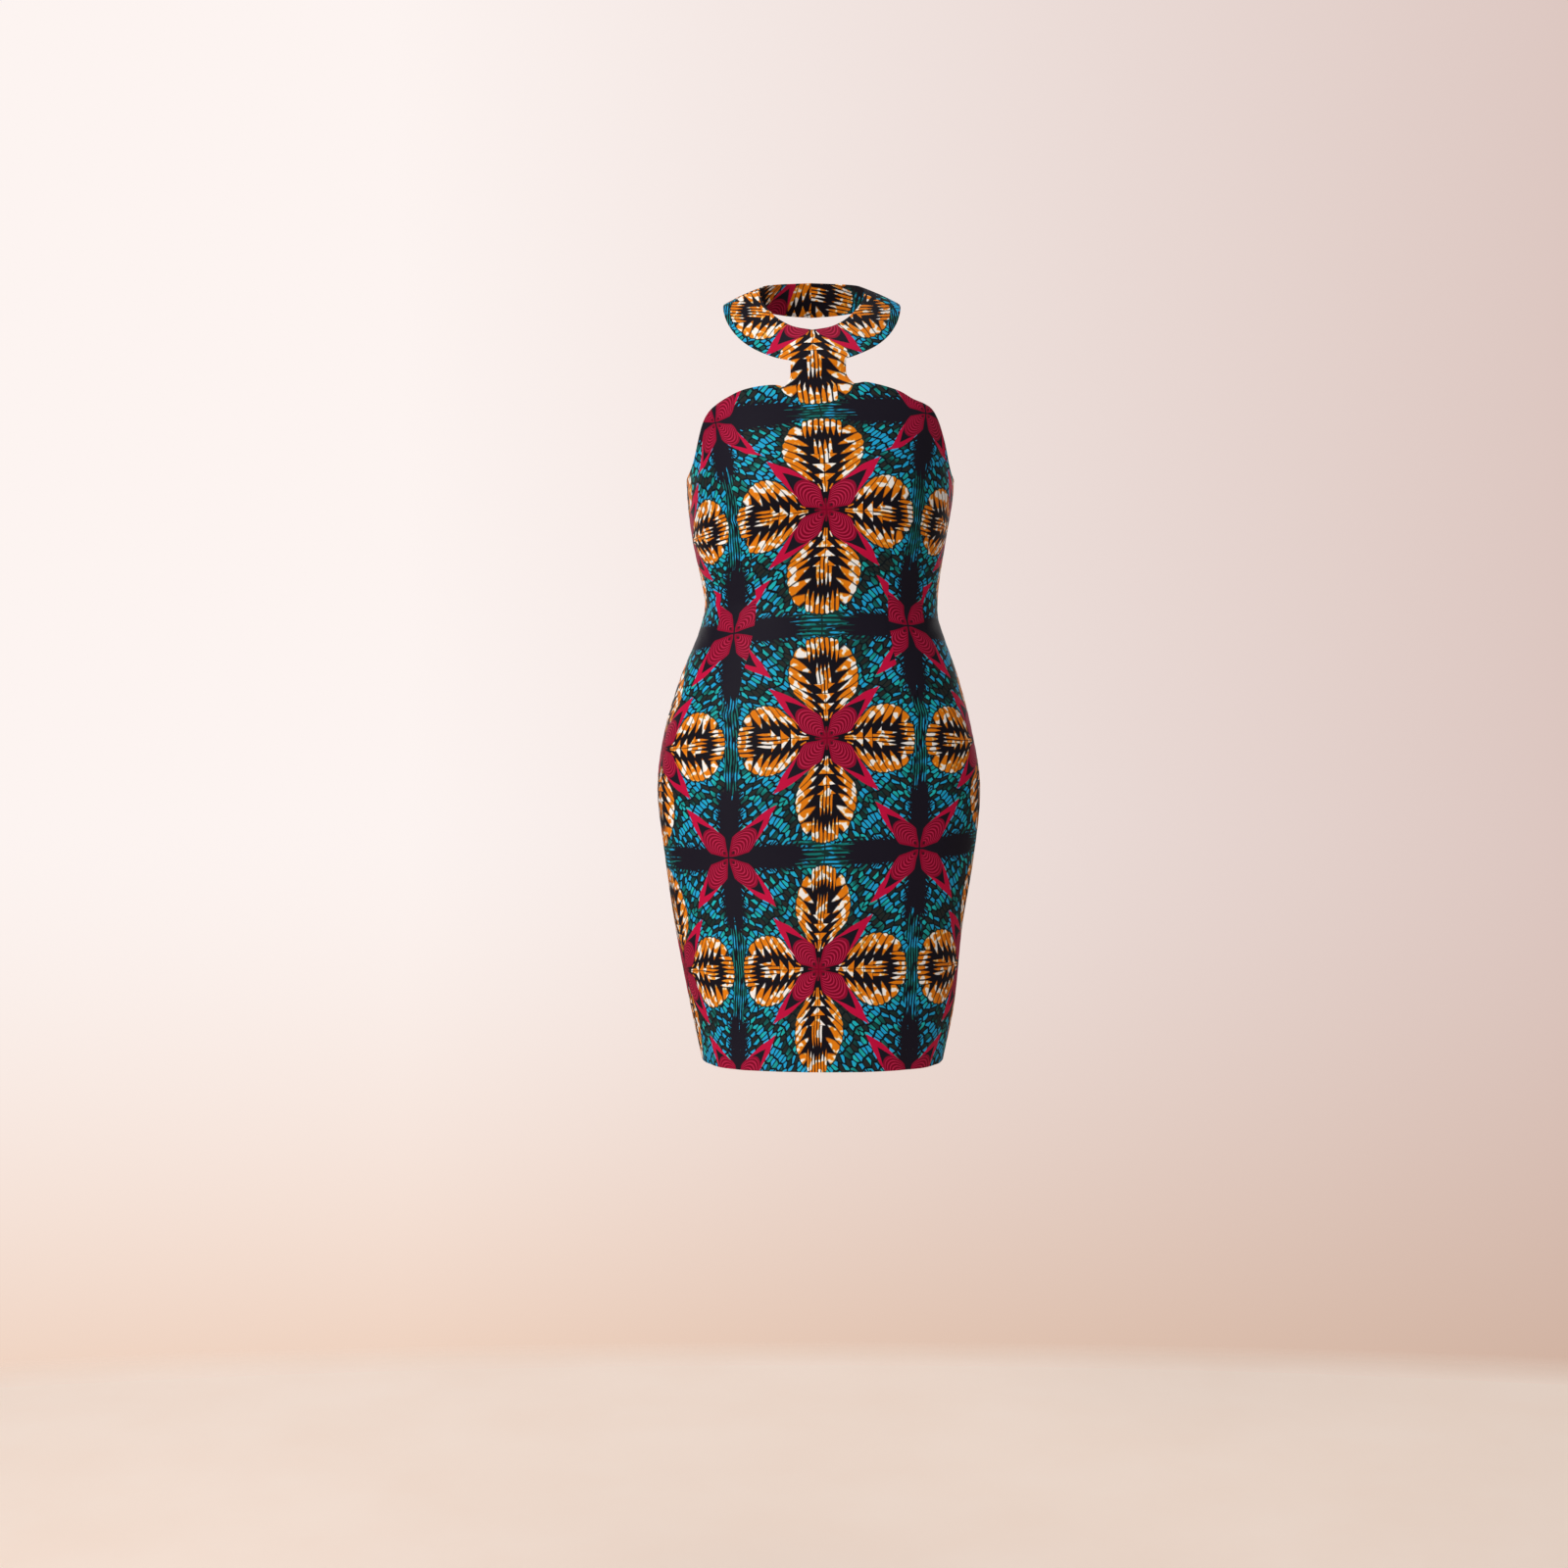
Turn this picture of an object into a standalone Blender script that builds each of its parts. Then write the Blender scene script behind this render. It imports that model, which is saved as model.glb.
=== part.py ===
# A sleeveless wax print sheath dress, hollow as worn: front cut in one with its tab and
# front collar, two back panels on a centre-back zip, two back collar halves, zip, button and loop.
# Metres, +Z up. The front faces -Y and the wearer's left is +X.
# The origin is the middle of the neck ring, where the wearer holds the dress.

from collections import namedtuple
from math import acos, asin, copysign, cos, exp, pi, radians, sin, tau

import bmesh
import bpy
from mathutils import Matrix, Vector

MM = 0.001
CLOTH = 1.6 * MM  # wall of every cloth piece
SEAM = 0.3 * MM  # gap between neighbouring pieces

# Level sections of the body, from the tab down to the hem. half is half the width, centre the
# sideways shift, front and back the depths from the neck's plane, and frontPower and backPower
# the powers of the rounded outline (2 is an ellipse, more is squarer).
Section = namedtuple("Section", "z half centre front back frontPower backPower")
SECTIONS = [
    Section(z * MM, half * MM, centre * MM, front * MM, back * MM, frontPower, backPower)
    for z, half, centre, front, back, frontPower, backPower in (
        (-60, 134.0, 7.5, 74.5, 60.0, 2.30, 2.2),
        (-103, 143.0, 9.0, 96.0, 83.0, 2.30, 2.2),
        (-150, 149.0, 9.5, 112.5, 97.0, 2.30, 2.2),
        (-207, 150.0, 9.5, 120.0, 101.0, 2.30, 2.2),
        (-260, 143.0, 8.5, 110.0, 97.0, 2.25, 2.2),
        (-325, 132.3, 10.5, 92.0, 86.0, 2.20, 2.2),
        (-360, 136.8, 10.5, 92.0, 87.0, 2.20, 2.2),
        (-415, 157.5, 9.0, 98.0, 103.0, 2.20, 2.2),
        (-475, 174.5, 7.8, 104.5, 122.0, 2.20, 2.2),
        (-540, 184.0, 8.5, 107.0, 131.0, 2.20, 2.2),
        (-620, 176.5, 9.2, 107.5, 126.0, 2.20, 2.2),
        (-700, 164.5, 8.5, 110.5, 117.5, 2.20, 2.2),
        (-790, 151.5, 12.5, 112.5, 113.0, 2.30, 2.2),
        (-853, 138.5, 13.0, 113.0, 111.0, 2.40, 2.2),
    )
]
HEM_Z = SECTIONS[-1].z
HEM_LIFT = 3 * MM  # the front hem's rise at centre front
KNEE_Z = SECTIONS[-3].z  # the hem's rise fades out here
CHEST_Z = -205 * MM  # rows are level up to here and follow the top edge above it

# The bodice's top edge: degrees round from centre front, and heights on the wearer's right and left.
TopEdge = namedtuple("TopEdge", "turn right left")
TOP_EDGE = [
    TopEdge(radians(turn), right * MM, left * MM)
    for turn, right, left in (
        (0.0, -94.0, -92.5),
        (13.3, -94.6, -90.6),
        (17.0, -92.6, -89.0),
        (22.0, -92.8, -90.8),
        (28.0, -94.5, -94.0),
        (35.0, -98.0, -99.0),
        (42.0, -104.0, -106.5),
        (50.0, -112.0, -111.5),
        (56.0, -120.0, -117.5),
        (60.5, -131.5, -130.0),
        (63.5, -148.0, -144.0),
        (66.5, -165.0, -158.0),
        (70.0, -177.0, -176.0),
        (75.0, -185.0, -187.0),
        (82.0, -190.0, -191.0),
        (90.0, -192.0, -192.0),
        (125.0, -188.0, -188.0),
        (180.0, -190.0, -190.0),
    )
]

# Bust cups, shaped by the darts.
CUP_OUT = 7 * MM
CUP_X = 79 * MM  # from the body's middle to each point of the bust
CUP_Z = -214 * MM
CUP_WIDTH = 46 * MM
CUP_ABOVE = 62 * MM
CUP_BELOW = 44 * MM

# Broad soft folds. turn and z are the middle, long runs along the fold and wide across it, lean is
# degrees from level, and rise is how far it stands out, or in where it is negative.
Fold = namedtuple("Fold", "turn z long wide lean rise")
FOLDS = [
    Fold(radians(turn), z * MM, long * MM, wide * MM, radians(lean), rise * MM)
    for turn, z, long, wide, lean, rise in (
        (0, -236, 45, 24, 90, -2.5),
        (-48, -800, 75, 20, 82, 2.2),
        (-24, -815, 60, 17, 98, -1.6),
        (52, -812, 70, 18, 86, 1.8),
        (-78, -338, 34, 12, -8, -2.0),
        (79, -350, 30, 12, 10, -1.8),
        (158, -352, 42, 13, 6, -2.4),
        (203, -366, 36, 13, -9, -2.2),
        (176, -392, 50, 14, 3, -1.8),
        (150, -800, 85, 22, 95, 2.4),
        (206, -790, 80, 22, 84, 2.0),
        (228, -815, 60, 18, 92, -1.8),
    )
]

# The collar band: its neck edge and its outer edge as a radius in plan and a height, by the angle
# round the neck from centre front.
Ring = namedtuple("Ring", "turn neckRadius neckZ rimRadius rimZ")
RINGS = [
    Ring(radians(turn), neckRadius * MM, neckZ * MM, rimRadius * MM, rimZ * MM)
    for turn, neckRadius, neckZ, rimRadius, rimZ in (
        (0, 54.0, -29.5, 84.0, -67.0),
        (23, 55.5, -25.0, 86.5, -64.0),
        (41, 57.5, -16.0, 91.0, -54.0),
        (56, 58.5, -5.0, 95.0, -41.0),
        (75, 59.0, 8.5, 98.0, -19.0),
        (90, 59.0, 19.5, 100.0, 1.0),
        (110, 57.0, 27.0, 99.0, 8.5),
        (135, 54.0, 31.5, 92.0, 5.5),
        (160, 52.5, 34.0, 82.5, 0.5),
        (180, 52.0, 35.0, 78.5, -1.5),
    )
]
BAND_CROWN = 1.2 * MM
SHOULDER_RIGHT = radians(-93)  # the seams that join the front collar to the back halves
SHOULDER_LEFT = radians(84)

# The tab that joins the front collar to the bodice.
TAB_X = 5.8 * MM
TAB_HALF = 29.6 * MM  # at the collar
TAB_FLARE = 0.5  # the share of the tab's height over which its foot spreads
TAB_SHARES = (0.07, 0.18, 0.34, 0.55, 0.78)  # heights of the tab's rows

ZIP_LENGTH = 380 * MM
ZIP_HALF = 12 * MM
ZIP_TAPE = 1.2 * MM
BACK_STRIP = radians(4.4)  # the panels' first strip beside centre back, which the zip lies behind

SLIDER_SIZE = (5.6 * MM, 10.0 * MM, 1.6 * MM)  # across, along the zip, thick
SLIDER_BELOW_TOP = 8 * MM
BAIL_INNER = 1.0 * MM
BAIL_OUTER = 2.2 * MM
BAIL_HALF = 0.6 * MM
PIN_RISE = 1.1 * MM  # from the slider's face to the pull's axis
PULL_LENGTH = 21 * MM
PULL_THICK = 0.9 * MM
PULL_NECK = 2.1 * MM  # half width at the eye
PULL_FOOT = 3.0 * MM  # half width at the rounded end
EYE_HALF = 1.2 * MM
EYE_TOP = 0.5 * MM
EYE_LENGTH = 2.6 * MM

BUTTON_RADIUS = 5.5 * MM
BUTTON_SHANK = 1.8 * MM
SHANK_RISE = 2.6 * MM
BUTTON_DOME = 2.6 * MM
BUTTON_FROM_EDGE = 9 * MM
BUTTON_UP_BAND = 0.62  # share of the band's width, from the rim to the neck edge
LOOP_RADIUS = 0.8 * MM
LOOP_TAIL = 8 * MM


def column(rows, key, along, at):
    """A smooth curve through one column of a table, whose rows run either way."""
    places = [getattr(row, along) for row in rows]
    values = [getattr(row, key) for row in rows]
    if places[0] > places[-1]:
        places, at = [-place for place in places], -at
    i = 0
    while i < len(places) - 2 and at > places[i + 1]:
        i += 1
    before, after = max(i - 1, 0), min(i + 2, len(places) - 1)
    step = places[i + 1] - places[i]
    s = (at - places[i]) / step
    slopeIn = (values[i + 1] - values[before]) / (places[i + 1] - places[before]) * step
    slopeOut = (values[after] - values[i]) / (places[after] - places[i]) * step
    return (
        (2 * s**3 - 3 * s**2 + 1) * values[i]
        + (s**3 - 2 * s**2 + s) * slopeIn
        + (3 * s**2 - 2 * s**3) * values[i + 1]
        + (s**3 - s**2) * slopeOut
    )


def sectionAt(z):
    keys = ("half", "centre", "front", "back", "frontPower", "backPower")
    return Section(z, *(column(SECTIONS, key, "z", z) for key in keys))


def power(value, exponent):
    return copysign(abs(value) ** exponent, value)


def plainBody(turn, z):
    """The body's surface at an angle round from centre front and a height, with its cups."""
    row = sectionAt(z)
    ahead = cos(turn) >= 0
    depth = row.front if ahead else row.back
    bend = 2 / (row.frontPower if ahead else row.backPower)
    across = row.half * power(sin(turn), bend)
    deep = -depth * power(cos(turn), bend)
    if ahead:
        tall = CUP_ABOVE if z > CUP_Z else CUP_BELOW
        for side in (-1, 1):
            reach = ((across - side * CUP_X) / CUP_WIDTH) ** 2 + ((z - CUP_Z) / tall) ** 2
            deep -= CUP_OUT * exp(-reach) * cos(turn)
    return Vector((row.centre + across, deep, z))


def facing(surface, u, v):
    """The unit normal of a surface whose u runs right and v runs up, seen from outside."""
    du, dv = 0.01, 0.5 * MM if surface is plainBody else 0.01
    along = surface(u + du, v) - surface(u - du, v)
    up = surface(u, v + dv) - surface(u, v - dv)
    return along.cross(up).normalized()


def foldRise(turn, z):
    """How far the broad folds move the cloth out at a place on the body."""
    girthRate = 0.135  # metres of cloth for each radian, near enough to size a fold
    total = 0.0
    for fold in FOLDS:
        away = (turn - fold.turn + pi) % tau - pi
        x, y = away * girthRate, z - fold.z
        run = (x * cos(fold.lean) + y * sin(fold.lean)) / fold.long
        across = (y * cos(fold.lean) - x * sin(fold.lean)) / fold.wide
        total += fold.rise * exp(-(run**2) - across**2)
    return total


def body(turn, z):
    """A point of the cloth's middle on the body, and its normal."""
    normal = facing(plainBody, turn, z)
    return plainBody(turn, z) + normal * foldRise(turn, z), normal


def bandSurface(turn, up):
    """The collar band at an angle round the neck, from its rim (0) to its neck edge (1)."""
    around = abs((turn + pi) % tau - pi)
    radius, height = (
        (1 - up) * column(RINGS, rim, "turn", around) + up * column(RINGS, neck, "turn", around)
        for rim, neck in (("rimRadius", "neckRadius"), ("rimZ", "neckZ"))
    )
    return Vector((radius * sin(turn), -radius * cos(turn), height))


def band(turn, up):
    normal = facing(bandSurface, turn, up)
    return bandSurface(turn, up) + normal * BAND_CROWN * 4 * up * (1 - up), normal


def topZ(turn):
    side = "left" if turn >= 0 else "right"
    return column(TOP_EDGE, side, "turn", abs(turn))


def steps(first, last, count):
    return [first + (last - first) * i / count for i in range(count + 1)]


def material(name, colour, roughness, metallic=0.0):
    made = bpy.data.materials.new(name)
    made.use_nodes = True
    shader = made.node_tree.nodes["Principled BSDF"]
    shader.inputs["Base Color"].default_value = (*colour, 1)
    shader.inputs["Roughness"].default_value = roughness
    shader.inputs["Metallic"].default_value = metallic
    return made


def place(name, mesh, finish):
    """Makes a mesh one object in the scene, with its faces pointing out."""
    tidy = bmesh.new()
    tidy.from_mesh(mesh)
    bmesh.ops.recalc_face_normals(tidy, faces=tidy.faces)
    tidy.to_mesh(mesh)
    tidy.free()
    mesh.materials.append(finish)
    mesh.shade_smooth()
    mesh.set_sharp_from_angle(angle=radians(40))
    made = bpy.data.objects.new(name, mesh)
    bpy.context.scene.collection.objects.link(made)
    return made


def wall(name, points, quads, finish, outer=CLOTH / 2, inner=CLOTH / 2):
    """A closed wall round a sheet: points are (place, normal), and quads index them."""
    count = len(points)
    verts = [spot + normal * outer for spot, normal in points]
    verts += [spot - normal * inner for spot, normal in points]
    faces = [tuple(quad) for quad in quads]
    faces += [tuple(i + count for i in reversed(quad)) for quad in quads]
    edges = {(quad[i], quad[(i + 1) % 4]) for quad in quads for i in range(4)}
    faces += [(b, a, a + count, b + count) for a, b in sorted(edges) if (b, a) not in edges]
    mesh = bpy.data.meshes.new(name)
    mesh.from_pydata(verts, [], faces)
    return place(name, mesh, finish)


def gridQuads(rows):
    """The quads between neighbouring rows of point numbers."""
    quads = []
    for low, high in zip(rows, rows[1:]):
        for i in range(len(low) - 1):
            quads.append((low[i], low[i + 1], high[i + 1], high[i]))
    return quads


def sheet(name, grid, finish, **sizes):
    """A wall round one grid of (place, normal) rows."""
    across = len(grid[0])
    rows = [list(range(i * across, (i + 1) * across)) for i in range(len(grid))]
    return wall(name, [spot for row in grid for spot in row], gridQuads(rows), finish, **sizes)


def sideTurn(depth, bend):
    """The angle at which the body's outline lies half a seam from the side seam's plane."""
    return acos((SEAM / 2 / depth) ** (bend / 2))


def frontRow(turns, level, share):
    """One row across the front: level up to the chest, then a share of the way to the top edge."""
    row = []
    for turn in turns:
        if level is None:
            z = CHEST_Z + (topZ(turn) - CHEST_Z) * share
        else:
            z = level + HEM_LIFT * cos(turn) ** 2 * max(0.0, (KNEE_Z - level) / (KNEE_Z - HEM_Z))
        section = sectionAt(z)
        if abs(turn) == pi / 2:
            turn = copysign(sideTurn(section.front, section.frontPower), turn)
        row.append(body(turn, z))
    return row


LEVELS = steps(HEM_Z, CHEST_Z, 28)
TOP_SHARES = steps(0, 1, 7)[1:]
TAB_TURNS = [radians(turn) for turn in (-13.3, -8.6, -4.2, 0, 3.8, 7.8, 12.2)]
SIDE_TURNS = [radians(turn) for turn in (17, 23, 30, 37, 44, 51, 56, 60, 63, 66, 69, 74, 81)]


def frontPiece(finish):
    """Skirt, bodice, tab and front collar, cut in one: three grids that share their points."""
    right = [-turn for turn in reversed(SIDE_TURNS)]
    turns = [-pi / 2, *right, *TAB_TURNS, *SIDE_TURNS, pi / 2]
    grid = [frontRow(turns, level, 0) for level in LEVELS]
    grid += [frontRow(turns, None, share) for share in TOP_SHARES]
    points = [spot for row in grid for spot in row]
    across = len(turns)
    rows = [list(range(i * across, (i + 1) * across)) for i in range(len(grid))]
    quads = gridQuads(rows)

    # the collar's rim carries the tab's columns at the tab's width
    heads = steps(TAB_X - TAB_HALF, TAB_X + TAB_HALF, len(TAB_TURNS) - 1)
    rim = [asin(x / RINGS[0].rimRadius) for x in heads]
    before = steps(SHOULDER_RIGHT, rim[0], 9)[:-1]
    after = steps(rim[-1], SHOULDER_LEFT, 9)[1:]
    collarRows = bandRows([*before, *rim, *after], ends=(1, -1))
    first = len(points)
    points += [spot for row in collarRows for spot in row]
    wide = len(collarRows[0])
    collar = [list(range(first + i * wide, first + (i + 1) * wide)) for i in range(len(collarRows))]
    quads += gridQuads(collar)

    foot = rows[-1][len(right) + 1 : len(right) + 1 + len(TAB_TURNS)]
    head = collar[0][len(before) : len(before) + len(TAB_TURNS)]
    ladder = [foot]
    for share in TAB_SHARES:
        ladder.append(list(range(len(points), len(points) + len(foot))))
        points += [tabPoint(points[a], points[b], share) for a, b in zip(foot, head)]
    quads += gridQuads([*ladder, head])
    return wall("front", points, quads, finish)


def tabPoint(foot, head, share):
    """A point of the tab between its foot on the bodice and its head on the collar's rim."""
    (low, lowNormal), (high, highNormal) = foot, head
    spread = max(0.0, 1 - share / TAB_FLARE) ** 2  # how much of the foot's extra width is left
    x = high.x + (low.x - high.x) * spread
    z = low.z + (high.z - low.z) * share
    row = sectionAt(z)
    onBody = -row.front * (1 - abs((x - row.centre) / row.half) ** row.frontPower) ** (1 / row.frontPower)
    ease = share * share * (3 - 2 * share)
    y = onBody + (high.y - onBody) * ease
    return Vector((x, y, z)), (lowNormal * (1 - share) + highNormal * share).normalized()


def bandRows(turns, ends):
    """Rows of a collar piece from rim to neck edge. ends says which way each end draws back."""
    rows = []
    for up in steps(0, 1, 4):
        row = [band(turn, up) for turn in turns]
        for end, way in zip((0, -1), ends):
            spot, normal = row[end]
            along = bandSurface(turns[end] + 0.01, up) - bandSurface(turns[end] - 0.01, up)
            row[end] = (spot + along.normalized() * way * SEAM / 2, normal)
        rows.append(row)
    return rows


BACK_ROWS = [(level, 0) for level in LEVELS] + [(None, 0.5), (None, 1)]
ZIP_ROWS = [(level, share) for level, share in BACK_ROWS if level is None or level > topZ(pi) - ZIP_LENGTH]


def backPiece(name, side, finish):
    """One back panel, from its side seam to the centre-back seam. side is 1 on the wearer's left."""
    grid = []
    for level, share in BACK_ROWS:
        row = []
        for turn in [*steps(pi / 2, pi - BACK_STRIP, 13), pi]:
            z = CHEST_Z + (topZ(turn * side) - CHEST_Z) * share if level is None else level
            section = sectionAt(z)
            if turn == pi / 2:
                turn = pi - sideTurn(section.back, section.backPower)
            if turn == pi:
                turn = pi - asin((SEAM / 2 / section.half) ** (section.backPower / 2))
            row.append(body(turn * side, z))
        grid.append(row if side > 0 else row[::-1])
    return sheet(name, grid, finish)


def collarBack(name, side, finish):
    """Half of the back collar, from the shoulder seam to centre back."""
    if side > 0:
        turns, ends = steps(SHOULDER_LEFT, pi, 12), (1, -1)
    else:
        turns, ends = steps(-pi, SHOULDER_RIGHT, 12), (1, -1)
    return sheet(name, bandRows(turns, ends), finish)


def zipPiece(finish):
    """The closed zip inside the centre-back seam, parallel to the panels' two middle strips."""
    inward = CLOTH / 2 + SEAM + ZIP_TAPE / 2
    grid = []
    for level, share in ZIP_ROWS:
        z = CHEST_Z + (topZ(pi) - CHEST_Z) * share if level is None else level
        middle = body(pi, z)
        row = []
        for side in (-1, 1):
            edge = body((pi - BACK_STRIP) * side, z)
            part = ZIP_HALF / abs(edge[0].x - middle[0].x)
            row.append([a + (b - a) * part for a, b in zip(middle, edge)])
        row.insert(1, middle)
        grid.append([(spot - normal * inward, normal) for spot, normal in reversed(row)])
    return sheet("zip", grid, finish, outer=ZIP_TAPE / 2, inner=ZIP_TAPE / 2)


def backFrame(z):
    """A frame on the centre back's outer face: X across, Y up along the cloth, Z outwards."""
    spot, normal = body(pi, z)
    across = Vector((-1, 0, 0))
    out = Vector((0, normal.y, normal.z)).normalized()
    up = out.cross(across)
    axes = Matrix((across, up, out)).transposed().to_4x4()
    return Matrix.Translation(spot + out * CLOTH / 2) @ axes


def extruded(name, outline, thickness, hole=None):
    """A flat plate about z = 0 from an outline, with a hole of as many points where given."""
    count, half = len(outline), thickness / 2
    verts = [(x, y, -half) for x, y in outline] + [(x, y, half) for x, y in outline]
    around = [(i, (i + 1) % count) for i in range(count)]
    faces = [(a, b, b + count, a + count) for a, b in around]
    if hole:
        first = 2 * count
        verts += [(x, y, -half) for x, y in hole] + [(x, y, half) for x, y in hole]
        faces += [(first + b, first + a, first + a + count, first + b + count) for a, b in around]
        faces += [(b, a, first + a, first + b) for a, b in around]
        over = first + count
        faces += [(a + count, b + count, over + b, over + a) for a, b in around]
    else:
        faces += [tuple(range(count - 1, -1, -1)), tuple(range(count, 2 * count))]
    mesh = bpy.data.meshes.new(name)
    mesh.from_pydata(verts, [], faces)
    return mesh


def sliderZ():
    return topZ(pi) - SLIDER_BELOW_TOP


def zipSlider(finish):
    """The slider at the top of the zip: a rounded body with the bail that the pull hangs on."""
    wide, tall, thick = SLIDER_SIZE
    outline = []
    for i in range(16):
        turn = tau * (i + 0.5) / 16
        outline.append((wide / 2 * power(cos(turn), 0.6), tall / 2 * power(sin(turn), 0.6)))
    plate = extruded("zip_slider", outline, thick)
    made = place("zip_slider", plate, finish)
    frame = backFrame(sliderZ())
    plate.transform(frame @ Matrix.Translation((0, 0, SEAM + thick / 2)))

    foot = -PIN_RISE - thick / 4
    arc = steps(0, pi, 10)
    ring = [(BAIL_OUTER * cos(turn), BAIL_OUTER * sin(turn)) for turn in arc]
    ring += [(-BAIL_OUTER, foot), (-BAIL_INNER, foot)]
    ring += [(BAIL_INNER * cos(turn), BAIL_INNER * sin(turn)) for turn in reversed(arc)]
    ring += [(BAIL_INNER, foot), (BAIL_OUTER, foot)]
    bailMesh = extruded("bail", ring, 2 * BAIL_HALF)
    bail = place("bail", bailMesh, finish)
    upright = Matrix(((0, 0, 1, 0), (1, 0, 0, 0), (0, 1, 0, 0), (0, 0, 0, 1)))
    bailMesh.transform(frame @ Matrix.Translation((0, 0, SEAM + thick + PIN_RISE)) @ upright)
    bail.hide_render, bail.display_type = True, "WIRE"
    join = made.modifiers.new("bail", "BOOLEAN")
    join.operation, join.object = "UNION", bail
    return made


def zipPull(finish):
    """The drop-shaped pull, whose top bar turns under the slider's bail."""
    outline, hole = [], []
    for i in range(24):
        turn = tau * (i + 0.5) / 24
        low = (1 - sin(turn)) / 2  # 0 at the eye, 1 at the foot
        half = PULL_NECK + (PULL_FOOT - PULL_NECK) * low
        x = half * power(cos(turn), 0.7)
        outline.append((x, EYE_TOP - PULL_LENGTH * low))
        down = (1 - power(sin(turn), 0.45)) / 2
        hole.append((EYE_HALF * power(cos(turn), 0.45), -EYE_TOP - EYE_LENGTH * down))
    mesh = extruded("zip_pull", outline, PULL_THICK, hole)
    frame = backFrame(sliderZ())
    mesh.transform(frame @ Matrix.Translation((0, 0, SEAM + SLIDER_SIZE[2] + PIN_RISE)))
    return place("zip_pull", mesh, finish)


def collarFrame(fromEdge):
    """A frame on the collar's outer face near centre back: X across, Y up the band, Z outwards."""
    radius = bandSurface(pi, BUTTON_UP_BAND).y
    turn = pi - fromEdge / radius
    spot, normal = band(turn, BUTTON_UP_BAND)
    across = Vector((-1, 0, 0))
    across = (across - normal * across.dot(normal)).normalized()
    axes = Matrix((across, normal.cross(across), normal)).transposed().to_4x4()
    return Matrix.Translation(spot + normal * CLOTH / 2) @ axes


def collarButton(finish):
    """A covered button: a shank and a domed head, turned about its own axis."""
    profile = [(0.0, 0.0), (BUTTON_SHANK, 0.0), (BUTTON_SHANK, SHANK_RISE)]
    for turn in steps(-40, 90, 6):
        bend = radians(turn)
        rise = BUTTON_DOME * (0.42 + 0.58 * sin(bend))
        profile.append((BUTTON_RADIUS * cos(bend) ** 0.8, SHANK_RISE + rise))
    mesh = bpy.data.meshes.new("collar_button")
    spun = bmesh.new()
    ring = [spun.verts.new((r if r > 1e-6 else 0.0, 0, z)) for r, z in profile]
    edges = [spun.edges.new(pair) for pair in zip(ring, ring[1:])]
    bmesh.ops.spin(spun, geom=ring + edges, angle=tau, steps=20, axis=(0, 0, 1), cent=(0, 0, 0))
    bmesh.ops.remove_doubles(spun, verts=spun.verts, dist=0.01 * MM)
    spun.to_mesh(mesh)
    spun.free()
    mesh.transform(collarFrame(BUTTON_FROM_EDGE) @ Matrix.Translation((0, 0, SEAM)))
    return place("collar_button", mesh, finish)


def collarLoop(finish):
    """The button's cord loop: two tails on the other half, and a bend round the shank."""
    bend = BUTTON_SHANK + SEAM + LOOP_RADIUS
    rise = SEAM + LOOP_RADIUS
    route = [(BUTTON_FROM_EDGE + LOOP_TAIL, 1), (BUTTON_FROM_EDGE + 2 * MM, 1)]
    flat = [(along, side * bend, rise) for along, side in route]
    flat += [(bend * cos(radians(turn)), bend * sin(radians(turn)), rise) for turn in steps(90, 270, 10)]
    flat += [(along, -side * bend, rise) for along, side in reversed(route)]
    line = bpy.data.curves.new("collar_loop", "CURVE")
    line.dimensions, line.bevel_depth, line.bevel_resolution = "3D", LOOP_RADIUS, 2
    line.use_fill_caps = True
    run = line.splines.new("POLY")
    run.points.add(len(flat) - 1)
    for point, (along, up, out) in zip(run.points, flat):
        frame = collarFrame(BUTTON_FROM_EDGE - along)
        point.co = (*(frame @ Vector((0, up, out))), 1)
    line.materials.append(finish)
    made = bpy.data.objects.new("collar_loop", line)
    bpy.context.scene.collection.objects.link(made)
    return made


def build():
    for old in list(bpy.data.objects):
        bpy.data.objects.remove(old)
    cloth = material("wax_print_cloth", (0.015, 0.16, 0.20), 0.62)
    tape = material("zip_tape", (0.012, 0.05, 0.06), 0.8)
    metal = material("lacquered_metal", (0.02, 0.06, 0.07), 0.35, 0.8)
    frontPiece(cloth)
    backPiece("back_left", 1, cloth)
    backPiece("back_right", -1, cloth)
    collarBack("collar_back_left", 1, cloth)
    collarBack("collar_back_right", -1, cloth)
    zipPiece(tape)
    zipSlider(metal)
    zipPull(metal)
    collarButton(cloth)
    collarLoop(tape)


build()
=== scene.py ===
from functools import partialmethod
from math import cos, pi, radians, sin, tau

import bmesh
import bpy
import numpy as np
from mathutils import Matrix, Vector


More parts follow.
